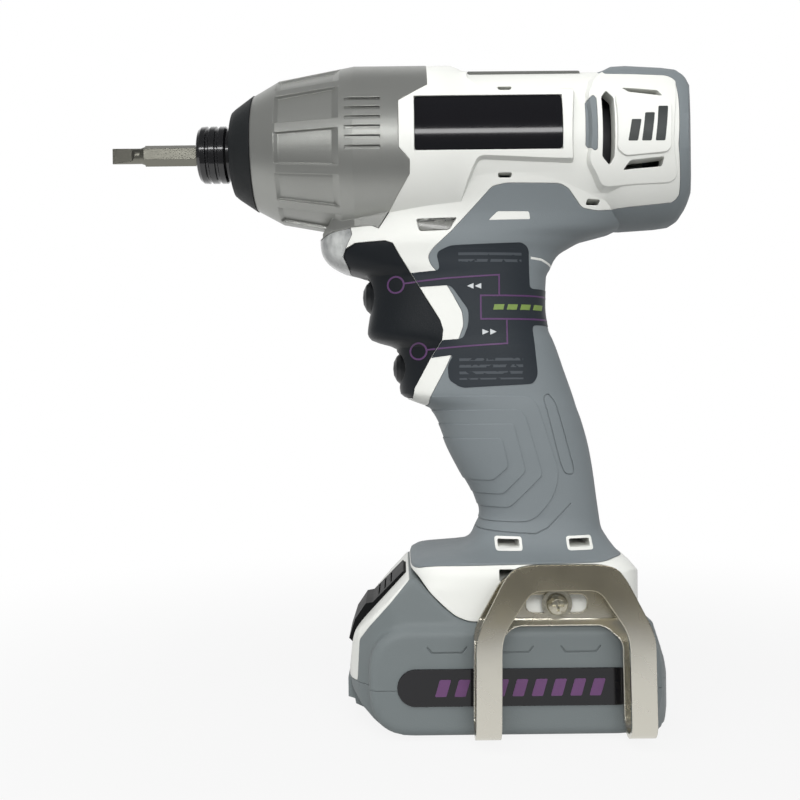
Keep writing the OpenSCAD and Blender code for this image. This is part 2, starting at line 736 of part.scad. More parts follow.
// Sleeve that is pulled towards the bit to free it
sleeve_x0 = case_x - 20;
sleeve_x1 = case_x - 7.5;
shoulder_x0 = ball_x - 1.2;
shoulder_x1 = ball_x + 1.2;
module collet_sleeve()
    color([0.09, 0.09, 0.1])
        difference() {
            turned([[sleeve_x0, 0], [sleeve_x0, sleeve_r - 1.9], [sleeve_x0 + 0.4, sleeve_r - 0.9],
                [sleeve_x0 + 1.5, sleeve_r - 0.1], [sleeve_x0 + 3.2, sleeve_r],
                [sleeve_x0 + 3.6, sleeve_r - 0.5], [sleeve_x0 + 4.2, sleeve_r - 0.5],
                [sleeve_x0 + 4.6, sleeve_r], [sleeve_x0 + 6.4, sleeve_r],
                [sleeve_x0 + 6.8, sleeve_r - 0.5], [sleeve_x0 + 7.4, sleeve_r - 0.5],
                [sleeve_x0 + 7.8, sleeve_r], [sleeve_x0 + 9.6, sleeve_r],
                [sleeve_x0 + 10.4, sleeve_r - 0.8], [sleeve_x1, sleeve_r - 0.8], [sleeve_x1, 0]]);
            bar(sleeve_x0 - 1, sleeve_x1 + 1, anvil_r + run);
            bar(sleeve_x0 - 1, shoulder_x0, sleeve_r - 1.9);
            bar(shoulder_x1, sleeve_x1 - 1, sleeve_r - 1.9);
        }

module sleeve_spring()
    color("silver")
        lofted(coil(anvil_front + 1.25, shoulder_x0 - 0.02, anvil_r + 1.05, 0.25, 2, axis_z));

// Hammer: cup with two lugs, free to turn and cam back on the spindle
hammer_x0 = ear_x1 + gap;
hammer_x1 = hammer_x0 + 17.5;
hub_r = spindle_r + 5;
lug_len = 5.7;
module hammer()
    color([0.35, 0.35, 0.36])
        difference() {
            union() {
                bar(hammer_x0, hammer_x1, hammer_r);
                intersection() {
                    tube(hammer_x0 - lug_len, hammer_x0 + 1, hammer_r - 2.6, anvil_r + 3.8);
                    block([hammer_x0 - lug_len, -6.5, -far], [hammer_x0 + 1, 6.5, far + 200]);
                }
            }
            // Room for the spring around the hub
            difference() {
                bar(hammer_x0 + 4.7, hammer_x1 + 1, hammer_r - 2.5);
                bar(hammer_x0, hammer_x1 - 2, hub_r);
            }
            bar(hammer_x0 - 1, hammer_x1 + 1, spindle_r + run);
            // Cam pockets that run out at the front face
            for (turn = [0, 180])
                translate([0, 0, axis_z])
                    rotate([turn + 90, 0, 0])
                        linear_extrude(height = spindle_r + 2.5)
                            polygon([[hammer_x0 - 1, -6.5], [hammer_x0 + 6, -3], [hammer_x0 + 9.3, -1.2],
                                [hammer_x0 + 9.3, 1.2], [hammer_x0 + 6, 3], [hammer_x0 - 1, 6.5]]);
        }

module hammer_spring()
    color("silver")
        lofted(coil(hammer_x0 + 4.75, carrier_x - 0.05, spindle_r + 7, 1.1, 5, axis_z));

// Cam spindle and planet carrier in one piece
carrier_x = plate_x - 15.2;
planet_x0 = carrier_x + 2.8;
planet_x1 = planet_x0 + 8;
carrier_r = gear_m * (sun_teeth + planet_teeth) / 2 + 5.2;
planet_orbit = gear_m * (sun_teeth + planet_teeth) / 2;
ring_teeth = sun_teeth + 2 * planet_teeth;
pin_r = 2.4;
neck_r = 8;
cam_ball_r = 2.4;
cam_ball_x = hammer_x0 + 6.5;
module spindle()
    color([0.45, 0.45, 0.46])
        difference() {
            union() {
                bar(hammer_x0 - gap - 5.5, hammer_x0 + 1, 3.5, 48);
                bar(hammer_x0, carrier_x + 1, spindle_r);
                bar(carrier_x, carrier_x + 2.5, carrier_r);
                bar(planet_x1 + 0.3, planet_x1 + 2.8, carrier_r);
                bar(planet_x1 + 2, plate_x + plate_t, neck_r);
                for (k = [0:planets - 1])
                    translate([0, 0, axis_z])
                        rotate([360 * (k + 0.5) / planets, 0, 0])
                            translate([carrier_x + 1, carrier_r - 2.3, 0])
                                rotate([0, 90, 0])
                                    cylinder(h = planet_x1 - carrier_x, r = 2, $fn = 32);
            }
            // Way in for the sun pinion
            bar(carrier_x + 2.4, plate_x + plate_t + 1, 5, 48);
            for (k = [0:planets - 1])
                translate([0, 0, axis_z])
                    rotate([360 * k / planets, 0, 0])
                        translate([carrier_x - 1, planet_orbit, 0])
                            rotate([0, 90, 0])
                                cylinder(h = 16, r = pin_r, $fn = 32);
            // V shaped cam tracks
            for (turn = [0, 180])
                translate([0, 0, axis_z])
                    rotate([turn + 90, 0, 0])
                        translate([0, 0, spindle_r - 1.9])
                            linear_extrude(height = 4)
                                polygon([[cam_ball_x - 2.5, -1.2], [cam_ball_x + 5, -6.4],
                                    [cam_ball_x + 8, -4.4], [cam_ball_x + 2.5, 0], [cam_ball_x + 8, 4.4],
                                    [cam_ball_x + 5, 6.4], [cam_ball_x - 2.5, 1.2]]);
        }

module cam_balls()
    color("silver")
        for (side = [-1, 1])
            translate([cam_ball_x, side * (spindle_r - 1.85 + cam_ball_r), axis_z])
                sphere(r = cam_ball_r - 0.7, $fn = 32);

module planet_pins()
    color("silver")
        for (k = [0:planets - 1])
            translate([0, 0, axis_z])
                rotate([360 * k / planets, 0, 0])
                    translate([carrier_x, planet_orbit, 0])
                        rotate([0, 90, 0])
                            cylinder(h = planet_x1 + 2.8 - carrier_x, r = pin_r - 0.01, $fn = 32);

// Involute gear outlines
pressure = 25;
function involute_angle(base, r) = let (a = acos(min(1, base / r))) tan(a) * 180 / PI - a;
function gear_outline(teeth, top, foot, slack) =
    let (pitch_r = gear_m * teeth / 2, base = pitch_r * cos(pressure), tip = pitch_r + top * gear_m,
        root = pitch_r - foot * gear_m, start = max(base, root), steps = 4,
        half = 90 / teeth + slack + involute_angle(base, pitch_r))
        [for (i = [0:teeth - 1], s = [-1, 1], k = [0:steps + 1])
            let (j = s < 0 ? k : steps + 1 - k, r = j == 0 ? root : start + (tip - start) * (j - 1) / steps,
                a = 360 * i / teeth + s * (half - involute_angle(base, max(r, start))))
                [r * cos(a), r * sin(a)]];

// Gear along X, its first tooth pointing to +Y turned by phase
module gear_bar(x0, x1, outline, phase)
    translate([x0, 0, 0])
        rotate([phase, 0, 0])
            rotate([90, 0, 90])
                linear_extrude(height = x1 - x0)
                    polygon(outline);

module planet_gear(k)
    color([0.6, 0.55, 0.45])
        translate([0, 0, axis_z])
            rotate([360 * k / planets, 0, 0])
                translate([0, planet_orbit, 0])
                    difference() {
                        gear_bar(planet_x0, planet_x1, gear_outline(planet_teeth, 0.9, 1.15, -0.25),
                            180 / planet_teeth);
                        translate([planet_x0 - 1, 0, 0])
                            rotate([0, 90, 0])
                                cylinder(h = 10, r = pin_r + run, $fn = 32);
                    }

module planet_gear_1() planet_gear(0);
module planet_gear_2() planet_gear(1);
module planet_gear_3() planet_gear(2);

module ring_gear()
    color([0.4, 0.4, 0.4])
        difference() {
            bar(planet_x0 - 1, planet_x1 + 1.5, case_inner_r - 0.02);
            translate([0, 0, axis_z])
                gear_bar(planet_x0 - 2, planet_x1 + 3, gear_outline(ring_teeth, 1.15, 0.9, 0.12),
                    180 / ring_teeth);
        }

// Plate between gears and motor, with the spindle's bearing
bearing_r = 13;
module gear_plate()
    color([0.25, 0.25, 0.26])
        difference() {
            union() {
                bar(plate_x, plate_x + plate_t, case_r - 3.7, 96);
                bar(plate_x - 1.5, plate_x, case_inner_r - 0.1, 96);
                bar(plate_x + plate_t - 0.01, motor_x, 12, 48);
            }
            bar(plate_x - 2, plate_x + plate_t - 0.9, bearing_r);
            bar(plate_x - 2, motor_x + 1, neck_r + 0.6);
        }

module spindle_bearing()
    color("silver") {
        tube(plate_x - 1.4, plate_x + plate_t - 0.95, bearing_r - 0.01, bearing_r - 1.6);
        tube(plate_x - 1.4, plate_x + plate_t - 0.95, neck_r + 1.4, neck_r + run);
        for (k = [0:9])
            translate([plate_x + 1.1, 0, axis_z])
                rotate([36 * k, 0, 0])
                    translate([0, (bearing_r + neck_r - 0.2) / 2, 0])
                        sphere(r = 0.95, $fn = 24);
    }

// Motor: can, magnets, end bell and brushes
can_t = 1.2;
module motor_can()
    color([0.55, 0.56, 0.58])
        difference() {
            bar(motor_x, motor_end, motor_r);
            bar(motor_x + 1.4, motor_end + 1, motor_r - can_t);
            bar(motor_x - 1, motor_x + 2, 4, 48);
            // Cooling slots around the can
            for (k = [0:5])
                translate([motor_x + 4, 0, axis_z])
                    rotate([60 * k + 30, 0, 0])
                        block([0, motor_r - 4, -3], [5, motor_r + 4, 3]);
        }

module motor_magnets()
    color([0.2, 0.2, 0.22])
        for (side = [0, 1])
            mirror([0, side, 0])
                intersection() {
                    tube(motor_x + 11, motor_x + 36, motor_r - can_t, motor_r - can_t - 2.8);
                    block([-far, -far, axis_z - 13], [far, -2, axis_z + 13]);
                }

shaft_r = 1.6;
module motor_end_bell()
    color([0.12, 0.12, 0.13])
        difference() {
            union() {
                bar(motor_end, motor_end + 6, motor_r);
                bar(motor_end - 2, motor_end, motor_r - can_t - 0.02);
                bar(motor_end + 5, motor_end + 10, 7, 48);
            }
            bar(motor_end - 3, motor_end + 3, motor_r - 4);
            bar(motor_end - 3, motor_end + 8.5, shaft_r + run, 32);
            for (side = [-1, 1])
                translate([motor_end + 2, 0, axis_z + side * 11])
                    block([0, -3, -2.5], [8, 3, 2.5]);
        }

brush_x = motor_end - 9;
commutator_r = 5;
module motor_brushes()
    color([0.2, 0.2, 0.2])
        for (side = [-1, 1])
            translate([0, 0, axis_z])
                rotate([side * 90, 0, 0])
                    block([brush_x, -2, commutator_r + 0.1], [brush_x + 5, 2, motor_r - can_t - 0.2]);

// Rotor
module rotor_shaft()
    color("silver")
        bar(planet_x0 - 0.05, motor_end + 8, shaft_r, 32);

module armature()
    color([0.5, 0.3, 0.2])
        difference() {
            bar(motor_x + 11, motor_x + 35, motor_r - can_t - 3.3);
            bar(motor_x, motor_end, shaft_r, 32);
            for (k = [0:6])
                translate([0, 0, axis_z])
                    rotate([360 * k / 7, 0, 0])
                        block([motor_x + 10, 8, -0.8], [motor_x + 36, far, 0.8]);
        }

module commutator()
    color([0.7, 0.4, 0.2])
        tube(brush_x - 0.8, brush_x + 6.5, commutator_r, shaft_r);

module motor_fan()
    color([0.15, 0.15, 0.15])
        difference() {
            union() {
                bar(motor_x + 4, motor_x + 5.2, motor_r - can_t - 1);
                bar(motor_x + 3, motor_x + 9, 3.6, 48);
                for (k = [0:8])
                    translate([0, 0, axis_z])
                        rotate([40 * k, 0, 0])
                            block([motor_x + 5, 3, -0.6], [motor_x + 8.8, motor_r - can_t - 1.4, 0.6]);
            }
            bar(motor_x, motor_end, shaft_r, 32);
        }

module sun_pinion()
    color([0.6, 0.6, 0.6])
        difference() {
            translate([0, 0, axis_z])
                gear_bar(planet_x0 - 0.05, planet_x1 + 0.2, gear_outline(sun_teeth, 0.9, 1.15, -0.4), 0);
            bar(planet_x0 - 1, planet_x1 + 1, shaft_r, 32);
        }

// Finger side: bezel, pads, their springs and the switch

forward_x = -44.5;
forward_z = at_trigger(0.68);
reverse_x = -34.4;
reverse_z = at_trigger(0.21);

module at_pad(x, z)
    translate([x, 0, z])
        rotate([0, 90, 0])
            children();

module trigger_bezel()
    color([0.14, 0.15, 0.16])
        difference() {
            intersection() {
                grip_body(0.6);
                side_cut(bezel_zone);
            }
            grip_body(3.4);
            at_pad(forward_x - 20, forward_z) cylinder(h = 26, r = forward_r + gap, $fn = 48);
            at_pad(reverse_x - 20, reverse_z) cylinder(h = 26, r = reverse_r + gap, $fn = 48);
        }

// Domed pad with its stem
module pad(x, z, r, dome, body, stem_end)
    at_pad(x, z)
        rotate_extrude($fn = 64)
            polygon([[0, -dome], [0.35 * r, -0.93 * dome], [0.65 * r, -0.68 * dome], [0.87 * r, -0.3 * dome],
                [r, 0.2], [r, body - 1.3], [r + 1.1, body - 1.3], [r + 1.1, body], [2.5, body],
                [2.5, stem_end], [0, stem_end]]);

forward_stem = 16;
reverse_stem = 12.5;
module forward_button()
    color([0.12, 0.13, 0.14])
        pad(forward_x, forward_z, forward_r, 4.1, 6.5, forward_stem);

module reverse_button()
    color([0.12, 0.13, 0.14])
        pad(reverse_x, reverse_z, reverse_r, 3.9, 5, reverse_stem);

switch_forward_x = forward_x + forward_stem - 2;
switch_reverse_x = reverse_x + reverse_stem - 2;
switch_w = 18;
module switch_module()
    color([0.1, 0.1, 0.1])
        difference() {
            union() {
                block([switch_forward_x, -switch_w / 2, at_trigger(0.44)], [2, switch_w / 2, at_trigger(0.83)]);
                block([switch_reverse_x, -switch_w / 2, at_trigger(0.07)], [2, switch_w / 2, at_trigger(0.44)]);
                // Ribs that seat the module between the shells
                block([-8, -half_w + skin + wall + 1.2, at_trigger(0.3)],
                    [-4, half_w - skin - wall - 1.2, at_trigger(0.6)]);
            }
            at_pad(switch_forward_x - 1, forward_z) cylinder(h = 7, r = 2.5 + run, $fn = 32);
            at_pad(switch_reverse_x - 1, reverse_z) cylinder(h = 7, r = 2.5 + run, $fn = 32);
        }

module forward_spring()
    color("silver")
        lofted(coil(forward_x + 6.55, switch_forward_x - 0.05, 4, 0.35, 4, forward_z));

module reverse_spring()
    color("silver")
        lofted(coil(reverse_x + 5.05, switch_reverse_x - 0.05, 4, 0.35, 2, reverse_z));

// Lamp under the hammer case
module lamp_lens()
    color([0.8, 0.81, 0.8, 0.7])
        difference() {
            intersection() {
                grip_body(0.3);
                side_cut(lens_zone);
            }
            grip_body(2.4);
        }

module lamp_led()
    color([0.9, 0.9, 0.75]) {
        translate([-49.5, 0, trigger_top + 1.6])
            rotate([0, -90, 0]) {
                cylinder(h = 6, r = 2.5, $fn = 32);
                translate([0, 0, 6]) sphere(r = 2.5, $fn = 32);
            }
        block([-49.5, -half_w + 7.2, trigger_top - 1.4], [-48.3, half_w - 7.2, trigger_top + 4.4]);
    }

// Foot: control board and terminal block
module control_board()
    color([0.15, 0.35, 0.2]) {
        block([-14, -half_foot + insert_len + 0.3, battery_h + rail_h + 2],
            [26, half_foot - insert_len - 0.3, battery_h + rail_h + 3.6]);
        block([-10, -8, battery_h + rail_h + 3.6], [4, 8, battery_h + rail_h + 6.4]);
    }

blade_x = 6;
module terminal_block()
    color([0.2, 0.2, 0.2]) {
        block([rail_end - 10.5, -rail_w + 0.3, battery_h + 3.2], [rail_end, rail_w - 0.3, battery_h + 7.4]);
        for (y = [-8, 0, 8])
            block([blade_x, y - 0.4, battery_h + 3.6], [rail_end - 10, y + 0.4, battery_h + 6.8]);
    }

module housing_screws()
    color([0.3, 0.3, 0.3])
        for (p = screw_places)
            translate([p[0], 0, p[1]])
                rotate([-90, 0, 0]) {
                    translate([0, 0, -10]) cylinder(h = 15.5, r = screw_shank_r, $fn = 24);
                    difference() {
                        translate([0, 0, 5]) cylinder(h = 2.4, r = screw_head_r, $fn = 24);
                        translate([-0.5, -1.8, 6.4]) cube([1, 3.6, 2]);
                        translate([-1.8, -0.5, 6.4]) cube([3.6, 1, 2]);
                    }
                }

// Belt hook: one strip bent into an inner plate and an outer arch, joined under the belt gap
inner_y = -battery_w / 2 - 2;
outer_y = inner_y - 2 * hook_t - belt_gap;
bend_y = (inner_y + outer_y) / 2;
bend_r = belt_gap / 2;
bend_z = hook_low + bend_r + hook_t;
leg_w = 8.2;
arch_top = foot_top + 0.8;
plate_y = -half_foot;

module hook_outline_outer()
    difference() {
        polygon([[-hook_w / 2, -10], [-hook_w / 2, battery_h - 2.5], [-hook_w / 2 + 1.2, battery_h + 1],
            [-hook_w / 2 + 9.6, arch_top - 4.2], [-hook_w / 2 + 11, arch_top - 1.6],
            [-hook_w / 2 + 14, arch_top], [hook_w / 2 - 14, arch_top], [hook_w / 2 - 11, arch_top - 1.6],
            [hook_w / 2 - 9.6, arch_top - 4.2], [hook_w / 2 - 1.2, battery_h + 1],
            [hook_w / 2, battery_h - 2.5], [hook_w / 2, -10]]);
        polygon([[-hook_w / 2 + leg_w, -11], [-hook_w / 2 + leg_w, battery_h - 3.4],
            [-hook_w / 2 + leg_w + 1.2, battery_h], [-hook_w / 2 + 17.6, arch_top - 8.6],
            [-hook_w / 2 + 19, arch_top - 7.8], [hook_w / 2 - 19, arch_top - 7.8],
            [hook_w / 2 - 17.6, arch_top - 8.6], [hook_w / 2 - leg_w - 1.2, battery_h],
            [hook_w / 2 - leg_w, battery_h - 3.4], [hook_w / 2 - leg_w, -11]]);
    }

module hook_outline_inner()
    difference() {
        polygon([[-hook_w / 2, -10], [-hook_w / 2, battery_h - 2.5], [-hook_w / 2 + 1.2, battery_h + 1],
            [-hook_w / 2 + 8, battery_h + 13], [-hook_w / 2 + 11, battery_h + 15],
            [hook_w / 2 - 11, battery_h + 15], [hook_w / 2 - 8, battery_h + 13],
            [hook_w / 2 - 1.2, battery_h + 1], [hook_w / 2, battery_h - 2.5], [hook_w / 2, -10]]);
        polygon([[-hook_w / 2 + leg_w, -11], [-hook_w / 2 + leg_w, battery_h - 5],
            [-hook_w / 2 + leg_w + 6, battery_h - 1], [hook_w / 2 - leg_w - 6, battery_h - 1],
            [hook_w / 2 - leg_w, battery_h - 5], [hook_w / 2 - leg_w, -11]]);
        translate([-6.8, hook_z]) circle(r = 2.9, $fn = 32);
        translate([6.8, hook_z]) circle(r = 2.9, $fn = 32);
        translate([-6.8, hook_z - 2.9]) square([13.6, 5.8]);
    }

// Strip seen from the front: y to the side, z up
module strip_inner()
    union() {
        polygon([[plate_y, far], [plate_y - hook_t, far], [plate_y - hook_t, battery_h + 1],
            [inner_y - hook_t, battery_h - 4], [inner_y - hook_t, bend_z], [inner_y, bend_z],
            [inner_y, battery_h - 3.4], [plate_y, battery_h + 1.6]]);
        intersection() {
            translate([bend_y, bend_z])
                difference() {
                    circle(r = bend_r + hook_t, $fn = 64);
                    circle(r = bend_r, $fn = 64);
                }
            translate([bend_y, bend_z - 20]) square([20, 20.01]);
        }
    }

module strip_outer()
    union() {
        translate([outer_y, bend_z]) square([hook_t, far]);
        intersection() {
            translate([bend_y, bend_z])
                difference() {
                    circle(r = bend_r + hook_t, $fn = 64);
                    circle(r = bend_r, $fn = 64);
                }
            translate([bend_y - 20, bend_z - 20]) square([20.01, 20.01]);
        }
    }

module hook_layer()
    intersection() {
        translate([hook_x, 0, 0])
            rotate([90, 0, 0])
                linear_extrude(height = 100)
                    children(0);
        translate([hook_x - 50, 0, 0])
            rotate([90, 0, 90])
                linear_extrude(height = 100)
                    children(1);
    }

module belt_hook()
    color([0.62, 0.6, 0.55]) {
        hook_layer() {
            hook_outline_inner();
            strip_inner();
        }
        hook_layer() {
            hook_outline_outer();
            strip_outer();
        }
    }

insert_len = 8;
module hook_inserts()
    color([0.75, 0.6, 0.3])
        for (side = [0, 1])
            mirror([0, side, 0])
                translate([hook_x, -half_foot, hook_z])
                    rotate([-90, 0, 0])
                        difference() {
                            cylinder(h = insert_len, r = 3, $fn = 48);
                            translate([0, 0, -1]) cylinder(h = insert_len + 2, r = screw_r, $fn = 48);
                        }

module hook_screw()
    color("silver")
        translate([hook_x, plate_y - hook_t, hook_z])
            rotate([90, 0, 0])
                difference() {
                    union() {
                        translate([0, 0, -8]) cylinder(h = 8.5, r = screw_r - 0.05, $fn = 48);
                        translate([0, 0, 0.02]) cylinder(h = 0.8, r = 4.8, $fn = 48);
                        translate([0, 0, 0.8])
                            rotate_extrude($fn = 48)
                                polygon([[0, 0], [3.4, 0], [3.4, 0.8], [3, 1.5], [2, 2.1], [0, 2.4]]);
                    }
                    translate([-0.45, -1.9, 1.4]) cube([0.9, 3.8, 3]);
                    translate([-1.9, -0.45, 1.4]) cube([3.8, 0.9, 3]);
                }

// Battery: two case halves, front bezel, labels, cells, board and latch
half_b = battery_w / 2;
front_x = -battery_l / 2;
back_x = battery_l / 2;
part_z = 16;
nose_top = foot_top - 3.6;

module battery_side()
    polygon(concat([for (k = [7:-1:1]) k == 7 ? [back_x - 9.7, battery_h] : dock_line(0)[k]],
        [[-34.8, nose_top], [front_x + 3.7, battery_h - 1.6], [front_x + 0.9, battery_h - 6],
            [front_x, part_z], [front_x, 11], [front_x + 2, 7.6], [front_x + 7, 3.4], [front_x + 13, 0.8],
            [front_x + 18, 0], [back_x - 9, 0], [back_x - 5, 0.6], [back_x - 2, 3], [back_x - 0.4, 6.4],
            [back_x, 10], [back_x - 0.4, part_z], [back_x - 3.2, 21], [back_x - 9, 34]]));

module battery_front()
    polygon([for (s = [-1, 1], k = [0:6]) let (j = s < 0 ? k : 6 - k)
        let (p = [[half_b - 6.4, 0], [half_b - 2.4, 1.6], [half_b - 0.4, 5], [half_b, 10], [half_b, 27],
            [half_b - 1.6, battery_h], [half_b - 3.4, foot_top]][j]) [s * p[0], p[1]]]);

module battery_plan()
    offset(r = 11, $fn = 48)
        translate([front_x + 11, -half_b + 11])
            square([battery_l - 22, battery_w - 22]);

// The battery's form, each outline drawn in by d
module battery_form(d = 0)
    intersection() {
        translate([0, far, 0])
            rotate([90, 0, 0])
                linear_extrude(height = 2 * far)
                    offset(delta = -d) battery_side();
        translate([-far, 0, 0])
            rotate([90, 0, 90])
                linear_extrude(height = 2 * far)
                    offset(delta = -d) battery_front();
        linear_extrude(height = foot_top)
            offset(delta = -d) battery_plan();
    }

// Room for the front bezel on the slope and round both front corners
bezel_t = 3;
module front_room()
    side_cut([[-31.5, nose_top + 5], [-60, nose_top + 5], [-60, part_z], [front_x + bezel_t, part_z],
        [front_x + bezel_t + 0.9, battery_h - 7], [front_x + 3.7 + bezel_t, battery_h - 3.2],
        [-31.4, nose_top]]);

latch_w = 24;
latch_low = battery_h - 10;
// Outer line of the latch from its foot to its tip, and its thickness along the press
latch_line = [[front_x - 0.1, latch_low + 1], [front_x + 2, battery_h - 2.6], [front_x + 5.6, battery_h + 2.6],
    [front_x + 8, battery_h + 3], [-35.6, nose_top - 3]];
latch_t = 3.4;
latch_room = latch_travel + 3;
module latch_form(d, depth)
    side_cut(concat(
        [for (p = [latch_line[0] + [-d, -d], for (k = [1:3]) latch_line[k], latch_line[4] + [d, d]])
            p + (depth > latch_t ? [-20, 20] : [0, 0])],
        [for (k = [4:-1:0]) latch_line[k] + (k == 4 ? [d, d] : k == 0 ? [-d, -d] : [0, 0])
            + [depth / sqrt(2), -depth / sqrt(2)]]), -latch_w / 2 - d, latch_w / 2 + d);

rail_front = -30;
module rail_block()
    difference() {
        union() {
            block([rail_front, -rail_lip_w + 0.4, battery_h - 1],
                [rail_end - 11, rail_lip_w - 0.4, battery_h + rail_lip_h + 0.3]);
            block([rail_front, -rail_w + 0.4, battery_h + rail_lip_h + 0.3],
                [rail_end - 11, rail_w - 0.4, battery_h + rail_h - 0.4]);
        }
        for (y = [-8, 0, 8])
            block([blade_x - 1, y - 0.8, battery_h + 2], [rail_end, y + 0.8, battery_h + rail_h + 1]);
    }

module battery_upper()
    color([0.49, 0.52, 0.54])
        difference() {
            union() {
                difference() {
                    battery_form();
                    front_room();
                }
                rail_block();
            }
            difference() {
                battery_form(battery_wall);
                side_cut([[-60, latch_low - 8], [front_x + 6, latch_low - 8], [front_x + 15, latch_low],
                    [-28, nose_top - 12], [-28, nose_top + 5], [-60, nose_top + 5]]);
            }
            latch_form(gap, latch_t + latch_room);
            block([-far, -far, -1], [far, far, part_z]);
            // Shallow finger marks above the label
            for (x = [-22.6, 1, 20], side = [-1, 1])
                translate([x, side * half_b, 28.6])
                    rotate([90, 0, 0])
                        linear_extrude(height = 1, center = true)
                            polygon([[-6, 1], [-4, -0.6], [6, -0.6], [6, 0], [-3.6, 0], [-5, 1]]);
        }

module battery_lower()
    color([0.49, 0.52, 0.54])
        difference() {
            union() {
                battery_form();
                // Steps under the front that a thumb pulls on
                intersection() {
                    side_cut([[front_x - 0.5, part_z - 0.7], [front_x - 0.5, 8.9], [front_x + 1.8, 8.2],
                        [front_x + 2.1, 6.5], [front_x + 7.8, 3.8], [front_x + 8.7, 1.1],
                        [front_x + 12, 0.7], [front_x + 16, 3], [front_x + 16, part_z]], -14, 14);
                    block([-far, -far, 0], [far, far, part_z]);
                }
            }
            battery_form(battery_wall);
            block([-far, -far, part_z], [far, far, far]);
        }

module battery_bezel()
    color([0.87, 0.87, 0.85])
        difference() {
            intersection() {
                battery_form();
                front_room();
            }
            latch_form(gap, latch_t + latch_room);
            block([-far, -far, -1], [far, far, part_z]);
        }

module battery_labels()
    color([0.09, 0.09, 0.11])
        for (side = [0, 1])
            mirror([0, side, 0])
                translate([0, -half_b, 17])
                    rotate([90, 0, 0])
                        linear_extrude(height = 0.6) {
                            translate([-32, 0]) circle(r = 5.9, $fn = 48);
                            translate([32, 0]) circle(r = 5.9, $fn = 48);
                            translate([-32, -5.9]) square([64, 11.8]);
                        }

module battery_cells()
    color([0.2, 0.45, 0.3])
        for (k = [-1:1])
            translate([-cell_len / 2, k * (2 * cell_r + 0.4), battery_wall + cell_r + 0.05])
                rotate([0, 90, 0])
                    cylinder(h = cell_len, r = cell_r, $fn = 64);

module battery_board()
    color([0.15, 0.35, 0.2])
        block([-27, -24, battery_wall + 2 * cell_r + 0.2], [30, 24, battery_wall + 2 * cell_r + 1.8]);

// Release latch on the front slope, pressed square to it
module battery_latch()
    color([0.1, 0.1, 0.11])
        difference() {
            latch_form(0, latch_t);
            for (k = [1:3])
                translate([latch_line[3][0] + 0.2 * k * (latch_line[4][0] - latch_line[3][0]), 0,
                    latch_line[3][1] + 0.2 * k * (latch_line[4][1] - latch_line[3][1])])
                    rotate([0, 45, 0])
                        block([-0.8, -latch_w / 2 + 3, -0.4], [0.8, latch_w / 2 - 3, 0.4]);
        }

module latch_spring()
    color("silver")
        translate([(latch_line[3][0] + latch_line[4][0]) / 2 + latch_t / sqrt(2), 0,
            (latch_line[3][1] + latch_line[4][1]) / 2 - latch_t / sqrt(2)])
            rotate([0, 45, 0])
                lofted(coil(0.02, latch_room - 0.02, 2.2, 0.35, 3, 0));

housing_left();
housing_right();
grip_left();
grip_right();
hammer_case();
nose_bumper();
lamp_lens();
lamp_led();
trigger_bezel();
top_pad();
label_panels();
anvil_bush();
thrust_washer();
ring_gear();
gear_plate();
spindle_bearing();
motor_can();
motor_magnets();
motor_end_bell();
motor_brushes();
switch_module();
control_board();
terminal_block();
housing_screws();
belt_hook();
hook_screw();
hook_inserts();
anvil();
screwdriver_bit();
locking_balls();
retaining_ring();
collet_sleeve();
sleeve_spring();
spindle();
planet_pins();
cam_balls();
planet_gear_1();
planet_gear_2();
planet_gear_3();
hammer();
hammer_spring();
rotor_shaft();
armature();
commutator();
motor_fan();
sun_pinion();
forward_button();
reverse_button();
forward_spring();
reverse_spring();
battery_upper();
battery_lower();
battery_bezel();
battery_labels();
battery_cells();
battery_board();
battery_latch();
latch_spring();
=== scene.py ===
import math

import bmesh
import bpy
from mathutils import Matrix, Vector


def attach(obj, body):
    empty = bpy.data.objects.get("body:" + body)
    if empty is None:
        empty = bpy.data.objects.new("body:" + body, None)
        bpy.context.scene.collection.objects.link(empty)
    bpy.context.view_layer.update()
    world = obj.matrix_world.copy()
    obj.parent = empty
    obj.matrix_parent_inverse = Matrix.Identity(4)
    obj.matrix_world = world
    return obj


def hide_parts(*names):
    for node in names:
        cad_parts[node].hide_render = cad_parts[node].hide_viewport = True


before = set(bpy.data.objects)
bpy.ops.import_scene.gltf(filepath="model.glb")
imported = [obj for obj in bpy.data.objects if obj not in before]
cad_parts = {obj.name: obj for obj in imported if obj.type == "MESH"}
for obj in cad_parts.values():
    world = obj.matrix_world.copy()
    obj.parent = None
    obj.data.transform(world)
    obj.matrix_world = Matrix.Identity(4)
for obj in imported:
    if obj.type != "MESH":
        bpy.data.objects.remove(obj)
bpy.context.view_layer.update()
room = bpy.context.scene

# Studio: a pale table top in a white surround. A long strip light stands behind the camera,
# a large soft light overhead, a small fill before the head and a weak one on the bit's side.
# The camera is level with the tool, 350 mm from its middle plane, as a phone is held.
room.view_settings.view_transform = "Standard"


class Wire:
    """One output of a shader node. Sums and products of wires add Math nodes."""

    def __init__(self, finish, socket):
        self.finish = finish
        self.socket = socket

    def maths(self, operation, *values):
        return self.finish.node("ShaderNodeMath", {"operation": operation}, dict(enumerate(values)))

    def __add__(self, other):
        return self.maths("ADD", self, other)

    __radd__ = __add__

    def __sub__(self, other):
        return self.maths("SUBTRACT", self, other)

    def __rsub__(self, other):
        return self.maths("SUBTRACT", other, self)

    def __mul__(self, other):
        return self.maths("MULTIPLY", self, other)

    __rmul__ = __mul__

    def ramp(self, low, high):
        """0 below low, 1 above high and smooth between them."""
        return self.finish.node("ShaderNodeMapRange", {"interpolation_type": "SMOOTHSTEP"},
                                {"Value": self, "From Min": low, "From Max": high})


MM, PER_METRE = 0.001, 1000
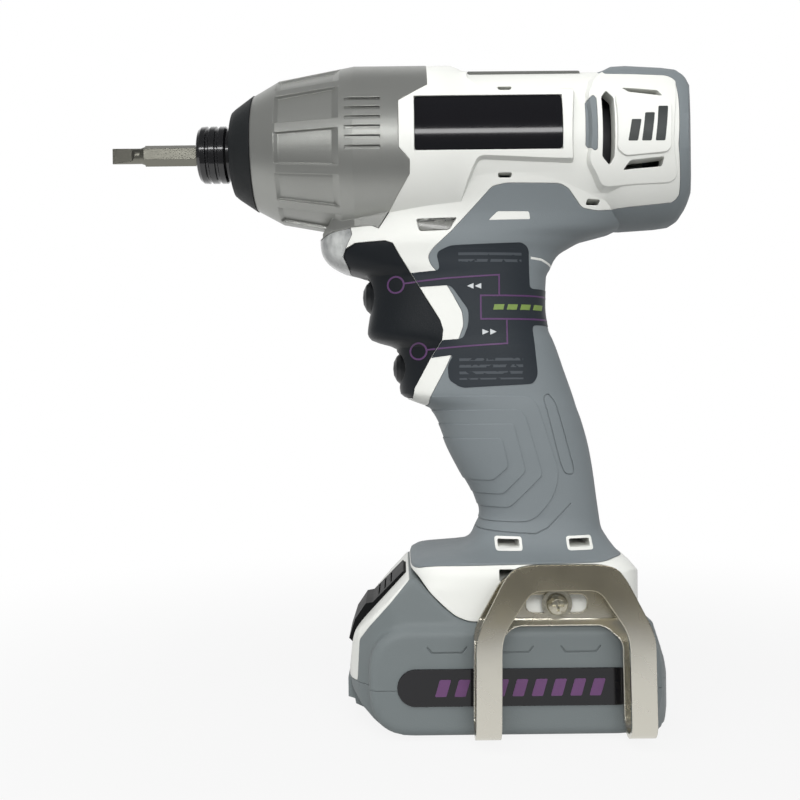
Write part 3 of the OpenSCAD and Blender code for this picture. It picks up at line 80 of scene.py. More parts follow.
# Sockets by number: an axis, the Light Path's rays and the Texture Coordinate's spaces
X, Y, Z = 0, 1, 2
CAMERA_RAY, GLOSSY_RAY, TRANSMISSION_RAY = 0, 3, 6
GENERATED, OBJECT = 0, 3
WHITE = (1, 1, 1, 1)


class Finish:
    """One finish as a tree of shader nodes."""

    def __init__(self, name, tree=None):
        if tree is None:
            self.material = bpy.data.materials.new(name)
            self.material.use_nodes = True
            tree = self.material.node_tree
        self.tree = tree
        tree.nodes.clear()

    def node(self, kind, settings=None, inputs=None, output=0):
        made = self.tree.nodes.new(kind)
        for key, value in (settings or {}).items():
            setattr(made, key, value)
        for key, value in (inputs or {}).items():
            if isinstance(value, Wire):
                self.tree.links.new(value.socket, made.inputs[key])
            else:
                made.inputs[key].default_value = value
        return Wire(self, made.outputs[output] if made.outputs else None)

    def mixed(self, share, first, second):
        return self.node("ShaderNodeMix", {"data_type": "RGBA"}, {0: share, 6: first, 7: second}, 2)

    def ray(self, kind):
        """1 for the rays of one kind, 0 for the rest."""
        return self.node("ShaderNodeLightPath", output=kind)

    def place(self, axis=None, space=OBJECT):
        """Where the shaded point is in metres, or how far along one axis."""
        place = self.node("ShaderNodeTexCoord", output=space)
        return place if axis is None else self.node("ShaderNodeSeparateXYZ", {}, {0: place}, axis)

    def noise(self, per_mm, detail=2, stretch=(1, 1, 1), shift=0.0):
        """Soft cloudy values of 0 to 1, of that many to the millimetre."""
        place = self.node("ShaderNodeVectorMath", {"operation": "MULTIPLY"},
                          {0: self.place(), 1: [PER_METRE * per_mm * s for s in stretch]})
        place = self.node("ShaderNodeVectorMath", {"operation": "ADD"}, {0: place, 1: [shift] * 3})
        return self.node("ShaderNodeTexNoise", {}, {"Vector": place, "Scale": 1.0, "Detail": detail})

    def surface(self, base, roughness, metallic=0.0, height=None, depth=0.1, edge=0.35, **fixed):
        """The finished material. height is a bump that stands depth mm, edge rounds corners in mm."""
        normal = self.node("ShaderNodeBevel", {"samples": 6}, {"Radius": edge * MM})
        if height is not None:
            normal = self.node("ShaderNodeBump", {}, {"Strength": 1.0, "Distance": depth * MM,
                                                      "Height": height, "Normal": normal})
        inputs = {"Base Color": base, "Roughness": roughness, "Metallic": metallic, "Normal": normal}
        for key, value in fixed.items():
            inputs[key.replace("_", " ")] = value
        shader = self.node("ShaderNodeBsdfPrincipled", {}, inputs)
        self.node("ShaderNodeOutputMaterial", {}, {"Surface": shader})
        return self.material

    def edge_highlight(self, width):
        """1 on sharp corners, 0 elsewhere: the mask where corners are painted paler as a highlight."""
        soft = self.node("ShaderNodeBevel", {"samples": 6}, {"Radius": width * MM})
        flat = self.node("ShaderNodeNewGeometry", output=1)
        along = self.node("ShaderNodeVectorMath", {"operation": "DOT_PRODUCT"}, {0: soft, 1: flat}, 1)
        return (1 - along).ramp(0.02, 0.25)


def shade(red, green, blue):
    """A colour as it looks on screen, in linear light."""
    return [((v / 255 + 0.055) / 1.055) ** 2.4 if v > 10 else v / 255 / 12.92
            for v in (red, green, blue)] + [1.0]


world = bpy.data.worlds.new("surround")
room.world = world
world.use_nodes = True
surround = Finish("surround", world.node_tree)
behind_tool = surround.place(Y, GENERATED).ramp(0.2, 0.75)
seen = surround.ray(CAMERA_RAY) + surround.ray(GLOSSY_RAY) * behind_tool + surround.ray(TRANSMISSION_RAY)
ROOM_LIGHT, ROOM_IN_GLOSS = (0.37, 0.372, 0.376, 1), (0.2, 0.202, 0.206, 1)
unseen = surround.mixed(surround.ray(GLOSSY_RAY), ROOM_LIGHT, ROOM_IN_GLOSS)
sky = surround.mixed(seen.maths("MINIMUM", seen, 1.0), unseen, WHITE)
surround.node("ShaderNodeOutputWorld", {}, {
    "Surface": surround.node("ShaderNodeBackground", {}, {"Color": sky, "Strength": 1.0})})

TABLE_SIDE, TABLE_FRONT, TABLE_BACK, TABLE_TOP = 4, -0.19, 6, -0.0002
table_mesh = bpy.data.meshes.new("table")
table_mesh.from_pydata([(-TABLE_SIDE, TABLE_FRONT, TABLE_TOP), (TABLE_SIDE, TABLE_FRONT, TABLE_TOP),
                        (TABLE_SIDE, TABLE_BACK, TABLE_TOP), (-TABLE_SIDE, TABLE_BACK, TABLE_TOP)],
                       [], [(0, 1, 2, 3)])
table = bpy.data.objects.new("table", table_mesh)
room.collection.objects.link(table)
top = Finish("table_top")
top_tone = top.mixed(top.noise(0.05), shade(176, 176, 174), shade(170, 170, 170))
lit = top.node("ShaderNodeBsdfDiffuse", {}, {"Color": top_tone})
bright = top.node("ShaderNodeEmission", {}, {"Color": WHITE, "Strength": 1.0})
direct = top.ray(CAMERA_RAY) + top.ray(GLOSSY_RAY) + top.ray(TRANSMISSION_RAY)
from_tool = top.node("ShaderNodeVectorMath", {"operation": "LENGTH"}, {0: top.place()}, 1)
SHADOW_SHARE = 0.12
share = direct.maths("MINIMUM", direct, 1.0) * (from_tool.ramp(0.08, 0.4) * SHADOW_SHARE + (1 - SHADOW_SHARE))
top.node("ShaderNodeOutputMaterial", {}, {
    "Surface": top.node("ShaderNodeMixShader", {}, {0: share, 1: lit, 2: bright})})
table_mesh.materials.append(top.material)


def lamp(name, place, aim, size, watts, in_gloss=True):
    """A rectangular light that faces its aim. Without in_gloss no surface mirrors it."""
    light = bpy.data.lights.new(name, "AREA")
    light.shape = "RECTANGLE"
    light.size, light.size_y = size
    light.energy = watts
    holder = bpy.data.objects.new(name, light)
    holder.location = place
    holder.rotation_euler = (Vector(aim) - Vector(place)).to_track_quat("-Z", "Z").to_euler()
    holder.visible_glossy = in_gloss
    room.collection.objects.link(holder)


lamp("strip_light", (0.0, -1.5, 0.60), (0, 0, 0.15), (1.7, 0.16), 9.2)
lamp("overhead_light", (-0.25, -0.45, 0.95), (0, 0, 0.12), (0.9, 0.7), 5.4, False)
lamp("front_fill", (0.05, -0.75, 0.34), (0.02, 0, 0.19), (0.35, 0.25), 2.2, False)
lamp("bit_side_light", (-0.9, -0.25, 0.35), (0, 0, 0.12), (0.5, 0.6), 1.4, False)

CAMERA_DISTANCE, CAMERA_ROLL = 0.350, 0.65
camera = bpy.data.cameras.new("camera")
camera.lens, camera.sensor_width = 45.0, 36.0
camera.clip_start = 0.01
viewer = bpy.data.objects.new("camera", camera)
viewer.location = (-0.036, -CAMERA_DISTANCE, 0.1082)
viewer.rotation_euler = (math.pi / 2, math.radians(CAMERA_ROLL), 0)
room.collection.objects.link(viewer)
room.camera = viewer

# White housing: two glass-filled nylon shells, moulded and screwed together at Y = 0.
# Stepped fields stand proud of the waist around the label and around the rear vents.
# The same outer form, cut along other lines, gives the soft skin and the trigger bezel.


class Solid:
    """A closed shape in millimetres that is joined to, cut from or kept within others."""

    def __init__(self, points, faces):
        self.mesh = bpy.data.meshes.new("solid")
        self.mesh.from_pydata(points, [], faces)
        shape = bmesh.new()
        shape.from_mesh(self.mesh)
        bmesh.ops.recalc_face_normals(shape, faces=shape.faces)
        shape.to_mesh(self.mesh)
        shape.free()

    def through(self, kind, **settings):
        """The shape after one modifier."""
        holder = bpy.data.objects.new("holder", self.mesh)
        room.collection.objects.link(holder)
        modifier = holder.modifiers.new(kind.lower(), kind)
        for key, value in settings.items():
            setattr(modifier, key, value)
        result = object.__new__(Solid)
        result.mesh = bpy.data.meshes.new_from_object(
            holder.evaluated_get(bpy.context.evaluated_depsgraph_get()))
        bpy.data.objects.remove(holder)
        return result

    def with_other(self, other, operation):
        """This shape and another as a union, a difference or what both fill."""
        cutter = bpy.data.objects.new("cutter", other.mesh)
        room.collection.objects.link(cutter)
        result = self.through("BOOLEAN", object=cutter, operation=operation, solver="MANIFOLD")
        bpy.data.objects.remove(cutter)
        return result

    def __add__(self, other):
        return self.with_other(other, "UNION")

    def __sub__(self, other):
        return self.with_other(other, "DIFFERENCE")

    def __and__(self, other):
        return self.with_other(other, "INTERSECT")

    def mirrored(self):
        """The same shape on the other side of Y = 0, with this one."""
        other = object.__new__(Solid)
        other.mesh = self.mesh.copy()
        other.mesh.transform(Matrix.Scale(-1, 4, (0, 1, 0)))
        other.mesh.flip_normals()
        return self + other


def rings_solid(rings):
    """Skin over closed rings that have the same number of points, capped at both ends."""
    count = len(rings[0])
    faces = []
    for start in range(0, (len(rings) - 1) * count, count):
        for k in range(count):
            on = (k + 1) % count
            faces.append([start + k, start + on, start + count + on, start + count + k])
    faces += [list(range(count)), list(range((len(rings) - 1) * count, len(rings) * count))]
    return Solid([point for ring in rings for point in ring], faces)


def plate(outline, y0=-90.0, y1=90.0):
    """A side view outline of (x, z) pulled from y0 to y1."""
    return rings_solid([[(x, y, z) for x, z in outline] for y in (y0, y1)])


def block(low, high):
    """A box between two opposite corners."""
    (x0, y0, z0), (x1, y1, z1) = low, high
    return plate([(x0, z0), (x1, z0), (x1, z1), (x0, z1)], y0, y1)


def circle(steps):
    """The points of a circle of radius 1."""
    return [(math.cos(2 * math.pi * k / steps), math.sin(2 * math.pi * k / steps)) for k in range(steps)]


def rounded(corners, reach, steps=4):
    """The outline with each corner turned into a short curve."""
    result = []
    for k, corner in enumerate(corners):
        c = Vector(corner)
        back, on = Vector(corners[k - 1]) - c, Vector(corners[(k + 1) % len(corners)]) - c
        p = c + back.normalized() * min(reach, back.length * 0.45)
        q = c + on.normalized() * min(reach, on.length * 0.45)
        for t in (i / steps for i in range(steps + 1)):
            result.append(tuple(p * (1 - t) ** 2 + c * 2 * t * (1 - t) + q * t * t))
    return result


def grown(outline, by):
    """The outline moved outwards by a distance in mm, or inwards where that is negative."""
    pairs = list(zip(outline, outline[1:] + outline[:1]))
    turn = math.copysign(1, sum(a[0] * b[1] - b[0] * a[1] for a, b in pairs))
    result = []
    for k, corner in enumerate(outline):
        c = Vector(corner)
        before, after = c - Vector(outline[k - 1]), Vector(outline[(k + 1) % len(outline)]) - c
        n0 = Vector((before.y, -before.x)).normalized() * turn
        n1 = Vector((after.y, -after.x)).normalized() * turn
        middle = (n0 + n1).normalized()
        result.append(tuple(c + middle * by / max(0.5, middle.dot(n0))))
    return result


def raised(outline, slope, y_foot=18.0, y_top=30.0):
    """A plate on the left side whose walls lean in by slope between y_foot and y_top."""
    return rings_solid([[(x, -y, z) for x, z in grown(outline, by)]
                        for y, by in ((y_foot, slope), (y_top, -slope))])


AXIS_Z = 194.5


def turned(profile, steps=144):
    """A solid turned about the output axis, from (x, radius) along it."""
    return rings_solid([[(x, -r * s, AXIS_Z + r * c) for c, s in circle(steps)] for x, r in profile])


def smooth_rows(rows, spacing):
    """Rows of numbers, filled in along their first number without overshooting."""
    heights = [r[0] for r in rows]
    columns = list(zip(*rows))[1:]
    slopes = []
    for column in columns:
        steps = [(column[i + 1] - column[i]) / (heights[i + 1] - heights[i]) for i in range(len(rows) - 1)]
        slope = [steps[0]]
        for a, b in zip(steps, steps[1:]):
            slope.append(2 * a * b / (a + b) if a * b > 0 else 0.0)
        slopes.append(slope + [steps[-1]])
    result = []
    for i in range(len(rows) - 1):
        gap = heights[i + 1] - heights[i]
        count = max(1, round(gap / spacing))
        for t in (k / count for k in range(count)):
            result.append([heights[i] + t * gap] + [
                (1 + 2 * t) * (1 - t) ** 2 * c[i] + t * (1 - t) ** 2 * gap * s[i]
                + t * t * (3 - 2 * t) * c[i + 1] + t * t * (t - 1) * gap * s[i + 1]
                for c, s in zip(columns, slopes)])
    return result + [list(rows[-1])]


# Level sections of the grip as [height, front, rear, half width, squareness]
GRIP_ROWS = [
    [36, -33.5, 44.8, 31, 7], [46.7, -33.5, 44.6, 31, 7], [50.5, -33.5, 42.7, 30.8, 6],
    [54.4, -32.7, 39.6, 29.8, 6], [55.5, -31.3, 38.6, 29, 5], [56.6, -22, 37.2, 26, 4],
    [57.6, -16, 36.5, 23.6, 3.6], [60.2, -12, 34.9, 20, 3], [64, -10.2, 33, 17.8, 2.7],
    [68.7, -8.4, 32.4, 16.9, 2.5], [75.4, -10.2, 31.6, 16.8, 2.4], [83.5, -14.6, 30.6, 16.9, 2.4],
    [91.7, -18.7, 29.2, 17.2, 2.4], [100.9, -22.3, 26.7, 17.4, 2.5], [105.4, -25.4, 25.1, 17.5, 2.5],
    [107.2, -30, 24.6, 17.5, 2.5], [110.4, -36.3, 23.6, 17.5, 2.5], [118, -37.2, 21, 17.3, 2.5],
    [126, -37.6, 18.3, 17.2, 2.5], [129.2, -46.3, 17, 17, 2.6], [131.3, -47.6, 16, 17, 2.6],
    [139.8, -46.6, 14.8, 17, 2.6], [150.4, -47.6, 15.3, 17.2, 2.6], [152.8, -55.6, 16.6, 17.5, 2.6],
    [156, -60.8, 18.1, 17.8, 2.6], [158.5, -62.6, 20.2, 18.2, 2.6], [160.6, -63.2, 23.6, 18.6, 2.6],
    [163.2, -63.4, 28.8, 18.7, 2.6], [165.5, -62, 38, 18.6, 2.6], [169.5, -58.4, 44.6, 18.9, 2.6],
    [173, -54, 47.6, 19.8, 2.6], [176, -50, 48, 20.9, 2.6], [180, -46, 47, 22.5, 2.6],
    [184, -42, 44, 23.8, 2.6], [187.5, -38, 40, 24.8, 2.6]]


def grip_form(out=0.0):
    """The grip from the foot to the neck, grown by a distance in mm."""
    rings = []
    for z, front, rear, half, power in smooth_rows(GRIP_ROWS, 1.0):
        middle, half_length = (front + rear) / 2, (rear - front) / 2 + out
        ring = []
        for c, s in circle(112):
            reach = (abs(c) ** power + abs(s) ** power) ** (-1 / power)
            ring.append((middle + half_length * c * reach, (half + out) * s * reach, z))
        rings.append(ring)
    return rings_solid(rings)


# Raised fields round the label and the vents, and the badge plate on the second one
front_field = rounded([(-60, 240), (-17, 240), (-13.8, 213.9), (-6.8, 208.4), (21.9, 209.2), (21.6, 184.6),
                       (-9.3, 185.9), (-17.5, 171.6), (-24, 158), (-60, 158)], 1.5)
vent_field = rounded([(25.6, 207), (29.6, 212.8), (36, 216), (52.2, 216.2), (54.8, 213.0), (55.2, 206.2),
                      (54.4, 189.5), (55.4, 180.6), (53.6, 178.8), (31.2, 177.6), (25.2, 184.6)], 2.0)
badge_field = rounded([(34.6, 205.6), (36.6, 207.2), (50.4, 205.4), (52.6, 203.4), (52.4, 188.4),
                       (50.8, 187.0), (37.4, 185.9), (34.6, 188.2)], 1.4)
head = turned([(-50, 28.9), (-17.5, 28.9), (-11.5, 26.3), (33.3, 26.3), (35, 26.9), (37.3, 28.0),
               (42, 28.2), (54, 27.5), (58.5, 26.9), (60.6, 25.6), (62.1, 23.4), (63.6, 19),
               (64.8, 13), (65.7, 7.5), (66.3, 2)])
proud = turned([(-50, 28.95), (24, 28.75)])
rear_proud = turned([(24, 28.5), (42, 28.6), (54, 28.0), (58.5, 27.1)])
badge_proud = turned([(30, 29.5), (56, 29.2)])
head = head + (proud & raised(front_field, 1.6).mirrored())
head = head + (rear_proud & raised(vent_field, 2.0).mirrored())
head = head + (badge_proud & raised(badge_field, 0.5, 24.0, 30.0).mirrored())


def seen_from_above(half_outline, z0, z1):
    """A plan outline, given as (x, y) on one side of the middle, pulled from z0 to z1."""
    outline = half_outline + [(x, -y) for x, y in half_outline[::-1]]
    return rings_solid([[(x, y, z) for x, y in outline] for z in (z0, z1)])


# The tail and the foot's back are bowed in plan
tail_plan = [(-150, 45), (50, 45), (56.5, 31), (57.9, 28), (59.3, 24), (61.2, 18), (63.0, 12),
             (65, 6), (66, 2)]
foot_plan = [(-150, 45), (25, 45), (31, 31), (36.5, 28), (40, 24), (42.2, 18), (43.8, 11), (44.7, 4)]
FOOT_TOP = 66
head = head & seen_from_above(tail_plan, 150, 240)
above_foot = block((-90, -60, FOOT_TOP - 0.1), (90, 60, 240))
form = head + (grip_form() & (seen_from_above(foot_plan, 30, FOOT_TOP) + above_foot))

# Side view outlines of what each piece takes of that form
case_zone = [(-26, 240), (-26, 211.1), (-35.5, 205.1), (-35.5, 189.7), (-32, 185.9), (-32, 181.5),
             (-42.4, 165.5), (-45, 166.6), (-51.8, 166.5), (-59.3, 165.5), (-62.5, 164), (-80, 163),
             (-80, 240)]
lens_zone = [(-70, 162.5), (-62.3, 164), (-59.5, 165.4), (-52, 166.4), (-51.4, 164), (-53.6, 159.4),
             (-54.6, 156.8), (-52.6, 152.5), (-53, 150.2), (-70, 150.2)]
bezel_zone = [(-50.5, 161), (-40.4, 161.4), (-37.8, 160.5), (-35.5, 156.4), (-28.9, 145.6), (-22.3, 134.8),
              (-21.3, 131.5), (-21.7, 128.1), (-25.1, 122.8), (-30.9, 112.2), (-31.6, 108.6), (-60, 108.6),
              (-60, 150.2), (-53, 150.2), (-52.6, 152.5), (-54.6, 156.8), (-53.6, 159.4)]
skin_zone = rounded([
    (-60, 53.4), (-31, 53.4), (-28, 54.2), (-24, 54.6), (28, 55.2), (34, 56.0), (60, 56.0), (60, 134.5),
    (76.3, 154.5), (76.3, 234.5), (32.3, 234.5), (32.3, 215.2), (53.0, 214.4), (55.6, 212.6), (55.6, 206.2),
    (54.9, 189.5), (57.2, 174.9), (55.6, 173.0), (30.3, 170.8), (25.3, 171.5), (20.3, 177.5), (17.3, 178.9),
    (-0.5, 179.1), (-5, 178.1), (-9, 173.9), (-19, 163.5), (-24.5, 158.6), (-26.2, 156.1), (-25.5, 153.3),
    (-23.2, 150.7), (-19.3, 145.3), (-15.0, 137.4), (-14.6, 132.9), (-16.4, 127.9), (-20.9, 118.3),
    (-26, 108.8), (-26.2, 106.2), (-60, 106.2)], 1.2)
dock_zone = rounded([(-60, 54), (-33, 53), (-30.8, 51.4), (-26.9, 46.2), (-22.2, 41.7), (-18.8, 38.9),
                     (-14.5, 37.25), (200, 37.25), (200, -10), (-60, -10)], 1.6)
bar_zone = rounded([(-6.0, 167.5), (-3.0, 170.3), (7.4, 170.2), (7.9, 167.7)], 0.6)
window_zone = rounded([(-30.0, 168.3), (-16.4, 168.5), (-18.9, 164.4), (-29.0, 164.1)], 0.8)
line_zone = [(8.5, 155.9), (12.5, 155.5), (16.5, 154.0), (20, 151.9), (22, 150.4), (22, 149.5),
             (19.4, 151.4), (16, 153.4), (12.3, 154.8), (8.5, 155.1)]


def boxed(x, z, length, height):
    """A rectangle in side view about (x, z)."""
    return [(x + a * length / 2, z + b * height / 2) for a, b in ((-1, -1), (1, -1), (1, 1), (-1, 1))]


def along_y(x, z, r, y0, y1):
    """A round bar across the tool."""
    return plate([(x + r * c, z + r * s) for c, s in circle(32)], y0, y1)


def along_x(z, r, x0, x1):
    """A round bar along the tool, in its middle plane."""
    return rings_solid([[(x, r * c, z + r * s) for c, s in circle(48)] for x in (x0, x1)])


# What both shells and skins leave free: the motor's room, the hammer case's spigot, the
# pads' room behind the bezel, the battery's rail channel, vents, screw wells and inserts
WALL = 4.2
inside = grip_form(-WALL) & block((-60, -40, FOOT_TOP), (70, 40, 172))
free = inside + turned([(-15.5, 22.3), (58.5, 22.3)], 96)
free = free + turned([(-51, 25.7), (-15.4, 25.7)], 96)
for zone in (case_zone, lens_zone, bezel_zone, dock_zone):
    free = free + plate(zone)
free = free + block((-60, -14.4, 35), (31, 14.4, 40.1)) + block((-60, -17, 40), (31, 17, 44.6))
VENTS = [
    [(30.2, 205.6), (32, 208.0), (34.2, 205.2), (34.2, 186), (32.7, 183.4), (30.2, 186.0)],
    [(37.2, 209.0), (48.8, 208.0), (50.3, 205.9), (39.4, 207.3)],
    [(37.2, 182.0), (39.4, 184.9), (50.4, 186.0), (49.8, 183.0)],
    [(-2.9, 211.1), (2.0, 211.1), (1.6, 209.7), (-2.5, 209.7)],
    [(-3.2, 182.2), (1.5, 182.2), (1.2, 180.6), (-3.0, 180.6)],
    [(26.9, 174.3), (31.4, 174.2), (30.9, 172.4), (26.4, 172.3)]]
for outline in VENTS:
    free = free + plate(rounded(outline, 0.7))
LOOP_X, LOOP_Z = (-0.6, 22.9), 60.4
for x in LOOP_X:
    free = free + plate(rounded(boxed(x, LOOP_Z, 7.0, 2.5), 0.6))
free = free + plate(rounded([(-4.9, 53.6), (-4.9, 50.0), (3, 50.0), (3, 53.6)], 0.4))
SCREW_PLACES = [(-33.4, 163.35), (8, 152.5), (55.3, 211.5), (55.3, 177.5), (20, 90.7), (11, 69.75),
                (-23.3, 50.7), (38, 43.8)]
SCREW_WELL, INSERT_WELL = 3.0, 3.1
for x, z in SCREW_PLACES:
    free = free + along_y(x, z, SCREW_WELL, 7.5, 50)
for side in (-1, 1):
    free = free + along_y(13, 43, INSERT_WELL, 22.9 * side, 33 * side)
LABEL_FLOOR = 27.35
label_room = turned([(-30.5, 31), (17.5, 31)], 96) - turned([(-32, 0), (-32, LABEL_FLOOR), (19, LABEL_FLOOR)])
free = free + (label_room & block((-31, -40, 188.5), (18, 40, 206.7)))

INSET_FLOOR = 25.2
inset_zone = rounded([(25.3, 204.2), (27.7, 206.4), (28.6, 205.2), (28.6, 188.4), (27.7, 187.9),
                      (25.1, 189.9)], 0.5)
inset_floor = turned([(20, INSET_FLOOR), (34, INSET_FLOOR)])
between_insets = block((20, -14, 180), (34, 14, 210))
free = free + (plate(grown(inset_zone, 0.08)) - inset_floor - between_insets)
window_room = (form - grip_form(-1.3)) & plate(window_zone)
shown_white = plate(bar_zone) + plate(line_zone)
for x in LOOP_X:
    shown_white = shown_white + plate(rounded(boxed(x, LOOP_Z, 8.8, 4.2), 1.0))
TOP_X, TOP_HALF, TOP_FLOOR = (-11.5, 25.9), 12, 25.2
top_room = turned([(TOP_X[0] - 0.3, 40), (TOP_X[1] + 0.3, 40)])
top_room = top_room - turned([(TOP_X[0] - 0.9, TOP_FLOOR), (TOP_X[1] + 0.9, TOP_FLOOR)])
top_room = top_room & block((TOP_X[0] - 0.3, -TOP_HALF - 0.2, 214), (TOP_X[1] + 0.3, TOP_HALF + 0.2, 240))
white_form = form - (plate(skin_zone) - shown_white) - free - top_room - window_room


def satin(name, red, green, blue, rough, grain=0.05, drift=4, **fixed):
    """Moulded plastic: slow drift of the colour, fine spark texture, corners painted paler as an edge
    highlight.
    """
    finish = Finish(name)
    darker, paler, highlight_tone = (shade(*[min(255, v + step) for v in (red, green, blue)])
                             for step in (-drift, drift, 22))
    base = finish.mixed(finish.noise(0.03), darker, paler)
    # Painted highlight: sharp corners are mixed towards a paler tone.
    base = finish.mixed(finish.edge_highlight(0.5) * 0.35, base, highlight_tone)
    roughness = finish.noise(0.2, shift=9.0) * 0.12 + (rough - 0.06)
    return finish.surface(base, roughness, 0.0, finish.noise(3.0, 3), grain, **fixed)


def show(name, solid, material, body, nodes=(), sharp=30):
    """Turns a solid into a piece of the scene."""
    mesh = solid.mesh
    mesh.name = name
    mesh.transform(Matrix.Scale(MM, 4))
    mesh.polygons.foreach_set("use_smooth", [True] * len(mesh.polygons))
    mesh.set_sharp_from_angle(angle=math.radians(sharp))
    mesh.materials.clear()
    mesh.materials.append(material)
    piece = bpy.data.objects.new(name, mesh)
    room.collection.objects.link(piece)
    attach(piece, body)
    if nodes:
        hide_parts(*nodes)
    return piece


white = satin("white_nylon", 219, 220, 215, 0.42, 0.03, 3)
HALF_SPLIT = 0.04
left_half = block((-150, -60, -10), (150, -HALF_SPLIT, 260))
right_half = block((-150, HALF_SPLIT, -10), (150, 60, 260))
show("shell_left", white_form & left_half, white, "housing", ["housing_left"])
show("shell_right", white_form & right_half, white, "housing", ["housing_right"])

# Soft skin: blue-grey elastomer moulded over the shells on the neck, the handle, the
# flare of the foot and the rear bumper. Low terraces and sunk lines run round the handle's
# sides. A harder, darker strip is let into the top.
grip_tone = satin("soft_skin", 114, 121, 124, 0.62, 0.06, 3)


SKIN_GAP = 0.12
skin_side = plate(grown(skin_zone, -SKIN_GAP))
skin_form = (form & skin_side) - shown_white - free - top_room
# Each terrace as (how far it stands out, outline, rounding of its corners)
TERRACES = [
    (0.3, [(-50, 109.6), (6.2, 109.1), (9.5, 107.1), (17, 83.1), (14.7, 75), (7.9, 67.2), (-50, 67)], 4),
    (0.6, [(-50, 104.2), (3.3, 104.7), (5.6, 102.5), (11.2, 82.7), (0.3, 71.9), (-50, 71.8)], 1.5),
    (0.9, [(-50, 99.7), (1.6, 99.9), (5.5, 84), (-1.9, 76.4), (-50, 76.2)], 1.2),
    (1.2, [(-50, 94.7), (-2.3, 95.1), (-0.2, 85.6), (-5.2, 81), (-50, 80.7)], 1.2)]
for out, outline, reach in TERRACES:
    skin_form = skin_form + (grip_form(out) & plate(rounded(outline, reach)) & skin_side)
LINE_WIDTH, LINE_DEPTH = 0.4, 0.35
loop = rounded([(11.9, 108.6), (13.7, 109.9), (16.2, 106.5), (22, 84.8), (21.9, 82.6), (18.9, 82.7),
                (17.3, 86.5)], 1.4)
loop_line = plate(grown(loop, LINE_WIDTH / 2)) - plate(grown(loop, -LINE_WIDTH / 2))
crease = plate([(-13, 64.5), (8.5, 63.4), (12.4, 65.1), (20.7, 73.2), (20.9, 72.9), (12.6, 64.7),
                (8.6, 63.0), (-13, 64.1)])
skin_form = skin_form - ((loop_line + crease) - grip_form(-LINE_DEPTH)) - inside
show("skin_left", skin_form & left_half, grip_tone, "housing", ["grip_left"])
show("skin_right", skin_form & right_half, grip_tone, "housing", ["grip_right"])
strip_tone = satin("top_strip", 88, 90, 86, 0.6, 0.06, 3)
STRIP_UNDER = TOP_FLOOR + 0.2
top_strip = turned([(TOP_X[0], 27.0), (TOP_X[1], 26.9)])
top_strip = top_strip - turned([(TOP_X[0] - 0.5, STRIP_UNDER), (TOP_X[1] + 0.5, STRIP_UNDER)])
top_strip = top_strip & block((TOP_X[0], -TOP_HALF, 214), (TOP_X[1], TOP_HALF, 240))
show("top_strip", top_strip, strip_tone, "housing", ["top_pad"])
insets = (form & plate(inset_zone)) - inset_floor
show("vent_insets", insets - between_insets, grip_tone, "housing")

# Trigger bezel: a black ABS shell around the fingers' side, scooped at each of the two press
# pads and drilled for its stem. The pads are domed discs, each over its own spring.
BEZEL_SINK, BEZEL_BACK = 0.6, 3.4
FORWARD_Z, REVERSE_Z = 144.04, 119.1
bezel_form = (grip_form(-BEZEL_SINK) & plate(grown(bezel_zone, -SKIN_GAP))) - grip_form(-BEZEL_BACK)
for z, r in ((FORWARD_Z, 7.2), (REVERSE_Z, 6.8)):
    bezel_form = bezel_form - along_x(z, r, -70, -28)
forward_scoop = along_y(-55.1, FORWARD_Z, 10.7, -40, 40) & block((-60, -50, 137), (-40, 50, 151))
reverse_scoop = along_y(-42.1, REVERSE_Z, 8.1, -40, 40) & block((-60, -50, 112.6), (-30, 50, 125.6))
bezel_form = bezel_form - forward_scoop - reverse_scoop
black = satin("black_abs", 25, 28, 31, 0.4, 0.04, 2, Specular_IOR_Level=0.2)
show("finger_bezel", bezel_form, black, "housing", ["trigger_bezel"])


def dress(material, *names):
    """Gives CAD pieces whose shape is right their finish."""
    for name in names:
        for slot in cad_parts[name].material_slots:
            slot.material = material


pad_black = satin("pad_black", 20, 22, 24, 0.34, 0.03, 2, Specular_IOR_Level=0.3)
dress(pad_black, "forward_button", "reverse_button")

# Printed vinyl on the handle: a dark slate sheet wrapped round the back, with a tab that
# joins both sides and two arms that run out to the pads. Violet lines, white arrows, short
# green dashes and rows of fine grey marks are printed on it.
decal_zone = rounded([
    (-23.4, 157.2), (-18.8, 159.3), (5.4, 160.3), (7.7, 158.5), (8.2, 145.2), (30, 145.2), (30, 132.9),
    (8.9, 133.0), (10.3, 116), (8.6, 113.1), (-15.5, 112), (-19.7, 114.7), (-20.0, 119.7), (-17.9, 123.1),
    (-25, 122.2), (-33, 121.2), (-33, 127.2), (-21.6, 128), (-14.8, 128.4), (-13.0, 132.9), (-12.8, 137.9),
    (-18.7, 146.3), (-28.9, 145.8), (-42, 144.6), (-42, 149.8), (-32.2, 150.5), (-22.2, 151.3)], 1.6)
DECAL_PROUD = 0.14
beside_bezel = plate(grown(bezel_zone, 0.05))
decal_form = (grip_form(DECAL_PROUD) - grip_form(-0.5)) & plate(decal_zone)
decal_form = decal_form - beside_bezel - free
slate = Finish("slate_vinyl")
across, up = slate.place(X) * PER_METRE, slate.place(Z) * PER_METRE
ROW_TURN = 2.86
in_rows = up.maths("SINE", up * ROW_TURN).ramp(0.1, 0.5)
upper_rows = up.ramp(152.6, 152.8) - up.ramp(158.2, 158.4)
lower_rows = up.ramp(114.6, 114.8) - up.ramp(122.0, 122.2)
row_length = across.ramp(-16.2, -16.0) - across.ramp(5.0, 5.4)
marks = slate.noise(0.5, 1, (1, 0.02, 1.2), 3.3).ramp(0.40, 0.42)
print_mask = in_rows * (upper_rows + lower_rows) * row_length * marks * 0.8
slate_base = slate.mixed(slate.noise(0.05), shade(37, 42, 47), shade(42, 47, 52))
slate_base = slate.mixed(print_mask, slate_base, shade(74, 79, 84))
